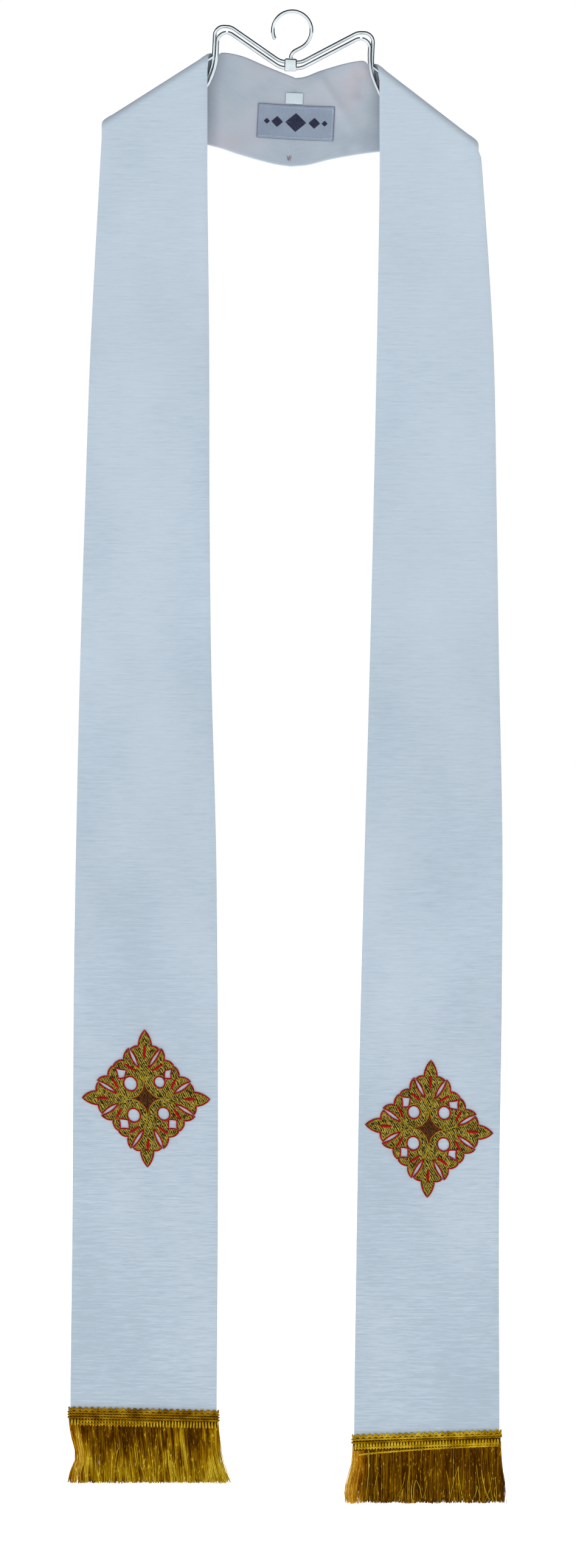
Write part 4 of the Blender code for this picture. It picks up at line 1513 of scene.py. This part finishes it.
def strand_mesh(name, strands):
    """Four-sided threads that thin out towards their tips, in one mesh."""
    points, maps, faces = [], [], []
    corners = [(math.cos(a), math.sin(a)) for a in (math.pi / 2 * k + 0.4 for k in range(4))]
    for line, radius, shades, warmth in strands:
        first = len(points)
        for ring, (point, shade) in enumerate(zip(line, shades)):
            t = ring / (len(line) - 1)
            thick = radius * (1.0 - 0.3 * t)
            for x, y in corners:
                points.append(point + Vector((x * thick, y * thick, 0)))
                maps.append((min(1.0, max(0.0, shade)), min(1.0, max(0.0, warmth))))
        for ring in range(len(line) - 1):
            base = first + 4 * ring
            for side in range(4):
                after = (side + 1) % 4
                faces.append((base + side, base + 4 + side, base + 4 + after, base + after))
        faces.append((first, first + 1, first + 2, first + 3))
        last = len(points) - 4
        faces.append((last + 3, last + 2, last + 1, last))
    made = new_mesh(name, points, faces)
    write_map(made.data, "thread", maps)
    return made


def make_fringe(half, finishes):
    parts = [braid_tape(half, finishes), picot_cord(half, finishes), braid_loops(half, finishes)]
    for number, row in enumerate(BRAID_CORDS[half]):
        parts.append(braid_cord(half, row, number, finishes))
    braid = joined(f"braid_{half}", parts)
    finished(braid, (f"fringe_{half}",), 60.0)
    strands = strand_mesh(f"fringe_strands_{half}", fringe_strands(half))
    cover(strands, finishes["strands"])
    finished(strands, (), 60.0)
    return [braid, strands]


# Embroidered crosses


def mirrored_eighth(eighth):
    """A whole outline from its eighth, which runs from an arm's tip to the diagonal."""
    quarter = list(eighth) + [(y, x) for x, y in reversed(eighth[:-1])]
    outline = []
    for turn in range(4):
        for x, y in quarter[:-1]:
            for _ in range(turn):
                x, y = y, -x
            outline.append((x, y))
    return outline


def arc_between(start, end, bulge, steps):
    """Points of a shallow arc, with bulge as its height over its chord, to the left."""
    start, end = Vector(start), Vector(end)
    chord = end - start
    side = Vector((-chord.y, chord.x))
    line = []
    for step in range(steps):
        t = step / steps
        line.append(tuple(start + chord * t + side * bulge * 4 * t * (1 - t)))
    return line


def four_turns(line):
    """The same line in each quarter of the cross."""
    turned = [tuple(p) for p in line]
    lines = []
    for _ in range(4):
        lines.append(turned)
        turned = [(y, -x) for x, y in turned]
    return lines


def leaf_outline():
    """From an arm's tip by its waist and shoulder, in and out of the slit, to the next leaf."""
    tip, waist, shoulder, root, leaf, notch, point, cleft = LEAF_CORNERS
    return mirrored_eighth(
        [
            *arc_between(tip, waist, 0.09, 6),
            *arc_between(waist, shoulder, 0.11, 4),
            *arc_between(shoulder, root, -0.08, 8),
            *arc_between(root, leaf, -0.08, 8),
            *arc_between(leaf, notch, 0.12, 5),
            *arc_between(notch, point, 0.14, 5),
            point,
            cleft,
        ]
    )


def leaf_gaps(half):
    """Every gap through the cross, where the cloth shows: the round holes and then the windows."""
    circle = [2 * math.pi * step / HOLE_CORNERS for step in range(HOLE_CORNERS)]
    holes = [
        [(x + radius * math.cos(a), y + radius * math.sin(a)) for a in circle]
        for x, y, radius in LEAF_HOLES[half]
    ]
    windows = [
        [
            *arc_between(outer, second, 0.05, 4),
            *arc_between(second, inner, -0.05, 4),
            *arc_between(inner, last, -0.05, 4),
            *arc_between(last, outer, 0.05, 4),
        ]
        for outer, second, inner, last in LEAF_WINDOWS[half]
    ]
    return [*holes, *windows]


def inside_line(line, inset):
    """A closed line moved towards its inside, blunted at its sharp points."""
    points = [Vector(p) for p in line]
    area = sum(a.x * b.y - b.x * a.y for a, b in zip(points, points[1:] + points[:1]))
    turn = 1.0 if area > 0 else -1.0
    moved = []
    for before, point, after in zip(points[-1:] + points[:-1], points, points[1:] + points[:1]):
        first = (point - before).normalized()
        second = (after - point).normalized()
        normal = Vector((-first.y - second.y, first.x + second.x))
        if normal.length < 1e-4:
            normal = Vector((-first.y, first.x))
        normal.normalize()
        sharp = max(0.45, normal.dot(Vector((-first.y, first.x))))
        moved.append(tuple(point + normal * (turn * inset / sharp)))
    return moved


def emblem_place(half):
    """From the cross's own plane, with its height over the cloth, to where it is sewn."""
    place = EMBLEMS[half]
    arms, upright = math.radians(place["arms_lean"]), math.radians(place["upright_leans"])
    across = Vector((math.cos(arms), 0.0, -math.sin(arms))) * (EMBLEM_WIDTH / EMBLEM_HEIGHT)
    upwards = Vector((math.sin(upright), 0.0, math.cos(upright)))
    outwards = Vector((0.0, -1.0, 0.0))
    sewn = Matrix((across, upwards, outwards)).transposed().to_4x4()
    return Matrix.Translation((place["x"], -FACE_OUTER, -place["drop"])) @ sewn


def pulled(half, lines):
    """The lines of a cross whose middle was pulled a little aside when it was sewn on."""
    pull = EMBLEMS[half]["pull"]
    return [
        [(x + pull * math.sin(math.pi * max(-1.0, min(1.0, y / PULL_REACH))), y) for x, y in line]
        for line in lines
    ]


def stitched_patch(name, lines, low, high, matrix):
    """A raised filled shape with softened edges."""
    data = bpy.data.curves.new(name, "CURVE")
    data.dimensions = "2D"
    data.fill_mode = "BOTH"
    data.extrude = (high - low) / 2 - SOFT_EDGE
    data.bevel_depth = SOFT_EDGE
    data.bevel_resolution = 2
    data.offset = -SOFT_EDGE
    for line in lines:
        spline = data.splines.new("POLY")
        spline.points.add(len(line) - 1)
        spline.use_cyclic_u = True
        spline.points.foreach_set("co", [c for x, y in line for c in (x, y, 0.0, 1.0)])
    lift = Matrix.Translation((0, 0, (low + high) / 2))
    made = as_mesh(link_new(name, data), matrix @ lift)
    tidy_surface(made)
    return made


def flat_cord(name, lines, height, radius, matrix, closed=True):
    """Cords couched on the cross at one height over the cloth."""
    raised = [[Vector((x, y, height)) for x, y in line] for line in lines]
    return cord(name, raised, radius, sides=8, closed=closed, matrix=matrix)


def dash_places(half, matrix):
    """Where each red dash of satin stitch lies."""
    places = []
    for start, end, half_width in DASHES:
        ways = [(start, end)]
        if start[0]:
            ways.append((start[::-1], end[::-1]))
        for way in ways:
            for line in pulled(half, four_turns(way)):
                first, last = Vector(line[0]), Vector(line[1])
                run = last - first
                turn = Matrix.Rotation(math.atan2(run.y, run.x), 4, "Z")
                size = Matrix.Diagonal((run.length / 2, half_width, DASH_HALF_HEIGHT, 1.0))
                middle = Matrix.Translation((*first.lerp(last, 0.5), STITCH_HEIGHT + 0.02))
                places.append(matrix @ middle @ turn @ size)
    return places


def make_emblem(half, finishes):
    matrix = emblem_place(half)
    outline, *gaps = pulled(half, [leaf_outline(), *leaf_gaps(half)])
    name = f"emblem_{half}"
    fill = stitched_patch(f"{name}_fill", [outline, *gaps], FILL_BASE, STITCH_HEIGHT, matrix)
    cover(fill, finishes["gold_stitch"])
    (diamond,) = pulled(half, [[p for line in four_turns(DIAMOND_SIDE[:-1]) for p in line]])
    brown = stitched_patch(f"{name}_diamond", [diamond], DIAMOND_BASE, DIAMOND_TOP, matrix)
    cover(brown, finishes["brown_stitch"])
    edges = flat_cord(f"{name}_edges", [outline, *gaps], OUTLINE_HEIGHT, OUTLINE_RADIUS, matrix)
    centre = flat_cord(f"{name}_centre", [diamond], STITCH_HEIGHT + 0.05, FINE_CORD_RADIUS, matrix)
    dashes = copies(bead(f"{name}_dash", (1.0, 1.0, 1.0), 10, 6), dash_places(half, matrix))
    cover(edges, finishes["red_outline"])
    cover(centre, finishes["red_outline"])
    for dash in dashes:
        cover(dash, finishes["red_stitch"])
    red = joined(f"{name}_red", [edges, centre, *dashes])
    inside = [inside_line(outline, INNER_CORD_INSET)]
    inner = flat_cord(f"{name}_inner", inside, STITCH_HEIGHT, INNER_CORD_RADIUS, matrix)
    curls = [[tuple(p) for p in smooth_line(line, 5)] for line in pulled(half, four_turns(CURL))]
    curl_height = STITCH_HEIGHT + 0.02
    curl_cords = flat_cord(f"{name}_curls", curls, curl_height, FINE_CORD_RADIUS, matrix, closed=False)
    rings = [inside_line(gap, -RING_CORD_INSET) for gap in gaps[:4]]
    ring_cords = flat_cord(f"{name}_rings", rings, STITCH_HEIGHT, INNER_CORD_RADIUS, matrix)
    yellow = joined(f"{name}_yellow", [inner, curl_cords, ring_cords])
    cover(yellow, finishes["yellow_cord"])
    finished(fill, (f"emblem_{half}",))
    for part in (brown, red, yellow):
        finished(part)
    return [fill, brown, red, yellow]


# Labels, seam and bar-tack


def on_label(flat, centre, lift):
    """A point on a label, given flat from its centre and its lift in front of the lining."""
    turn = Matrix.Rotation(-LABEL_LEAN, 2)
    x, z = Vector(centre) + turn @ Vector(flat)
    return Vector((x, neck_depth(x, z) + LINING_INNER - LABEL_CLEARANCE - lift, z))


def ribbon(name, size, centre, thickness, columns, rows):
    """A label: a fine grid laid on the lining, given its thickness and soft edges."""
    deselect()
    bpy.ops.mesh.primitive_grid_add(x_subdivisions=columns, y_subdivisions=rows, size=1.0)
    made = bpy.context.object
    made.name = name
    maps = [(v.co.x * size[0] * MILLIMETRE, v.co.y * size[1] * MILLIMETRE) for v in made.data.vertices]
    while made.data.uv_layers:
        made.data.uv_layers.remove(made.data.uv_layers[0])
    write_map(made.data, "cloth", maps)
    for vertex in made.data.vertices:
        flat = (vertex.co.x * size[0], vertex.co.y * size[1])
        vertex.co = on_label(flat, centre, thickness / 2)
    choose(made)
    wall = made.modifiers.new("thickness", "SOLIDIFY")
    wall.thickness = thickness
    wall.offset = 0.0
    bpy.ops.object.modifier_apply(modifier=wall.name)
    soft = made.modifiers.new("soft_edge", "BEVEL")
    soft.width = thickness * RIBBON_SOFTNESS
    soft.segments = 2
    soft.limit_method = "ANGLE"
    bpy.ops.object.modifier_apply(modifier=soft.name)
    tidy_surface(made, merge=False)
    return made


def stitch_run(start, end, centre, lift, count):
    """Matrices for running stitches along a straight line on a label."""
    places = []
    for number in range(count):
        share = (number + 0.5) / count
        flat = Vector(start).lerp(Vector(end), share)
        further = Vector(start).lerp(Vector(end), share + 0.01)
        place = on_label(flat, centre, lift)
        way = (on_label(further, centre, lift) - place).normalized()
        turn = way.to_track_quat("X", "Z").to_matrix().to_4x4()
        places.append(Matrix.Translation(place) @ turn)
    return places


def border(size, centre, inset, lift, steps=24):
    """A closed line round a label, in from its edge."""
    x, y = size[0] / 2 - inset, size[1] / 2 - inset
    corners = ((-x, -y), (x, -y), (x, y), (-x, y))
    line = []
    for start, end in zip(corners, corners[1:] + corners[:1]):
        for step in range(steps):
            line.append(on_label(Vector(start).lerp(Vector(end), step / steps), centre, lift))
    return line


def lozenge(name, middle, half_width, half_height, lift):
    """A small woven diamond on the label, as a closed line filled by ever smaller ones."""
    lines = []
    half_span = half_width * half_height / math.hypot(half_width, half_height)
    count = math.ceil(half_span / MOTIF_THREAD_PITCH)
    for number in range(count):
        inset = (number + 0.4) / count
        corners = ((half_width, 0), (0, half_height), (-half_width, 0), (0, -half_height))
        line = []
        for (x0, y0), (x1, y1) in zip(corners, corners[1:] + corners[:1]):
            for step in range(4):
                x = x0 + (x1 - x0) * step / 4
                y = y0 + (y1 - y0) * step / 4
                line.append(on_label((middle + x * inset, y * inset), LABEL_CENTRE, lift))
        lines.append(line)
    return cord(name, lines, MOTIF_THREAD_RADIUS, sides=6, closed=True)


def make_labels(finishes):
    label = ribbon("label_ribbon", LABEL_SIZE, LABEL_CENTRE, LABEL_THICKNESS, *LABEL_GRID)
    cover(label, finishes["label"])
    care = ribbon("care_ribbon", CARE_SIZE, CARE_CENTRE, CARE_THICKNESS, *CARE_GRID)
    cover(care, finishes["care"])
    selvedge = border(LABEL_SIZE, LABEL_CENTRE, SELVEDGE_INSET, SELVEDGE_LIFT)
    edge = cord("label_selvedge", [selvedge], SELVEDGE_RADIUS, closed=True)
    cover(edge, finishes["selvedge"])
    x, y = (size / 2 - inset for size, inset in zip(LABEL_SIZE, STITCH_INSETS))
    runs = []
    for start, end, count in (
        ((-x, y), (x, y), STITCHES_ALONG),
        ((-x, -y), (x, -y), STITCHES_ALONG),
        ((x, -y), (x, y), STITCHES_DOWN),
    ):
        runs += stitch_run(start, end, LABEL_CENTRE, STITCH_LIFT, count)
    stitches = joined("label_stitches", copies(bead("stitch", STITCH_HALF_SIZES), runs))
    cover(stitches, finishes["pale_thread"])
    motif = [lozenge("motif", *row, MOTIF_LIFT) for row in MOTIF_LOZENGES]
    motif = joined("label_motif", motif)
    cover(motif, finishes["navy_thread"])
    finished(label, ("neck_label",), 40.0)
    finished(care, ("care_label",), 40.0)
    for part in (edge, stitches, motif):
        finished(part)
    return [label, care, edge, stitches, motif]


def make_bar_tack(finishes):
    """The few rose-brown stitches that hold the foot of the centre seam."""
    model = bead("tack", TACK_HALF_SIZES)
    places = []
    chance = random.Random(TACK_CHANCE)
    for number in range(TACK_STITCHES):
        x = TACK_CENTRE[0] + TACK_PITCH * (number - TACK_STITCHES // 2) + chance.uniform(-0.15, 0.15)
        z = TACK_CENTRE[1] + chance.uniform(-1.2, 1.2)
        y = neck_depth(x, z) + seam_valley(x, z) + LINING_INNER - 0.1
        slant = Matrix.Rotation(math.radians(chance.uniform(-16.0, 20.0)), 4, "Y")
        places.append(Matrix.Translation((x, y, z)) @ slant)
    tack = joined("seam_bar_tack", copies(model, places))
    cover(tack, finishes["tack_thread"])
    return finished(tack)


# Hanger


def filleted(corners, arc_steps=14):
    """A line through corners, each (across, up, depth, radius), with rounded bends."""
    line = [Vector(corners[0][:3])]
    for before, corner, after in zip(corners, corners[1:], corners[2:]):
        place = Vector(corner[:3])
        back, forward = Vector(before[:3]) - place, Vector(after[:3]) - place
        turning = math.pi - back.angle(forward)
        if turning < math.radians(2) or corner[3] <= 0:
            line.append(place)
            continue
        tangent = corner[3] * math.tan(turning / 2)
        start = place + back.normalized() * tangent
        end = place + forward.normalized() * tangent
        bisector = (back.normalized() + forward.normalized()).normalized()
        centre = place + bisector * (corner[3] / math.cos(turning / 2))
        steps = max(3, round(arc_steps * turning / (math.pi / 2)))
        first, last = start - centre, end - centre
        for step in range(steps + 1):
            line.append(centre + first.slerp(last, step / steps) * corner[3])
    line.append(Vector(corners[-1][:3]))
    return line


def arm_line_height(across):
    """Height of the carrying wire's centre, just under the cloth's fold."""
    below_ridge = FACE_OUTER - LINING_INNER + WIRE_RADIUS + WIRE_CLEARANCE
    return RIDGE_APEX_RISE - below_ridge / math.cos(ARM_SLOPE) - across * math.tan(ARM_SLOPE)


def half_frame_corners(lean, bend_rise):
    """Half of the wire loop, from the back bridge down to the arm's tip and up to the front."""
    front, back = NECK_WIRE_FRONT_Y, NECK_WIRE_BACK_Y
    front_x, back_x = NECK_WIRE_FRONT_X + lean, NECK_WIRE_BACK_X + lean
    hump_x = HUMP_INNER_X + lean
    return [
        (0.0, BRIDGE_BACK_DIP, back, 0.0),
        (9.0, BRIDGE_BACK_DIP, back, 16.0),
        (hump_x, HUMP_BACK_TOP, back, 12.0),
        (back_x, HUMP_BACK_TOP, back, 8.0),
        (back_x, -50.0, back, 56.0),
        (back_x + 11.3, -74.0, back, 56.0),
        (119.0, -94.0, 0.3, 60.0),
        (ARM_TIP_X, ARM_TIP_Z, 0.0, 4.0),
        (ARM_TIP_X - 4.0, ARM_TIP_Z - 8.5, 0.0, 4.0),
        (108.0, -102.0, -1.0, 42.0),
        (front_x + 11.4, bend_rise - 76.0, front, 58.0),
        (front_x, bend_rise - 52.0, front, 58.0),
        (front_x, HUMP_FRONT_TOP, front, 8.0),
        (hump_x + 0.5, HUMP_FRONT_TOP, front, 10.0),
        (9.0, BRIDGE_FRONT_DIP, front, 16.0),
        (0.0, BRIDGE_FRONT_DIP, front, 0.0),
    ]


def hung_wire(name, line, closed=False):
    """A wire through points of the hanger's own frame."""
    points = [hang(p.x, p.y, p.z) for p in line]
    return cord(name, [points], WIRE_RADIUS, WIRE_SIDES, closed)


def carrying_rod(side, lean):
    """The wire that carries the cloth, from the neck wire down to the arm's tip."""
    start = NECK_WIRE_BACK_X + lean + 0.4
    stations = ((start, 0.3), (start + 9.0, 0.0), (ARM_TIP_X - 1.5, 0.0))
    line = [Vector((side * x, arm_line_height(x), depth)) for x, depth in stations]
    return hung_wire("carrying_rod", line)


def clamp_block():
    """The pressed ferrule that holds the two bridge wires and the hook's foot."""
    deselect()
    bpy.ops.mesh.primitive_cube_add(size=1.0)
    made = bpy.context.object
    height = BRIDGE_BACK_DIP - BRIDGE_FRONT_DIP + 2 * WIRE_RADIUS + CLAMP_LAP
    bpy.ops.object.mode_set(mode="EDIT")
    bpy.ops.mesh.select_all(action="SELECT")
    bpy.ops.transform.resize(value=(CLAMP_WIDTH, CLAMP_DEPTH, height))
    bpy.ops.mesh.bevel(offset=CLAMP_BEVEL, segments=5)
    bpy.ops.object.mode_set(mode="OBJECT")
    middle = hang(0.0, (BRIDGE_BACK_DIP + BRIDGE_FRONT_DIP) / 2)
    made.data.transform(Matrix.Translation(middle) @ Matrix.Rotation(HANGER_TILT, 4, "Y"))
    return made


def hook_line():
    """The hook's wire: up from the clamp, round the rail and open to the left."""
    centre_z = WIRE_RADIUS - HOOK_RADIUS
    start = math.radians(HOOK_START)
    run = math.radians(HOOK_END) - start
    circle = [start + run * step / HOOK_STEPS for step in range(HOOK_STEPS + 1)]
    arc = []
    for angle in circle:
        up = centre_z + HOOK_RADIUS * math.sin(angle)
        arc.append(Vector((HOOK_RADIUS * math.cos(angle), up, 0.0)))
    meets_axis = arc[0].y - arc[0].x * math.tan(start + math.pi / 2)
    corners = [
        (0.0, HOOK_FOOT, 0.0, 0.0),
        (0.0, meets_axis, 0.0, HOOK_STEM_BEND),
        (arc[0].x, arc[0].y, 0.0, 0.0),
    ]
    return [*filleted(corners)[:-1], *arc]


def hook_tip():
    """The ball that blunts the hook's open end."""
    end = hook_line()[-1]
    tip = bead("hook_tip", (WIRE_RADIUS + 0.1,) * 3, 16, 12)
    tip.data.transform(Matrix.Translation(hang(end.x, end.y, end.z)))
    return tip


def make_hanger(finishes):
    lean = NECK_WIRE_LEANS_RIGHT
    right = filleted(half_frame_corners(lean, RIGHT_BEND_RISE))
    left = [Vector((-p.x, p.y, p.z)) for p in reversed(filleted(half_frame_corners(-lean, 0.0)))]
    loop = hung_wire("frame_loop", [*right, *left[1:-1]], closed=True)
    rods = [carrying_rod(1, lean), carrying_rod(-1, -lean)]
    frame = joined("hanger_wire_frame", [loop, *rods, clamp_block()])
    hook = joined("hanger_wire_hook", [hung_wire("hook", hook_line()), hook_tip()])
    for part, node in ((frame, "hanger_frame"), (hook, "hanger_hook")):
        cover(part, finishes["chrome"])
        finished(part, (node,))
    return frame, hook


def main():
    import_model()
    add_camera()
    add_lights()
    add_surroundings()
    add_floor()
    finishes = make_materials()
    labels = make_labels(finishes)
    tack = make_bar_tack(finishes)
    frame, _ = make_hanger(finishes)
    for half in FOLDS:
        face, lining = make_cloth(half, finishes)
        trimmings = make_fringe(half, finishes) + make_emblem(half, finishes)


main()
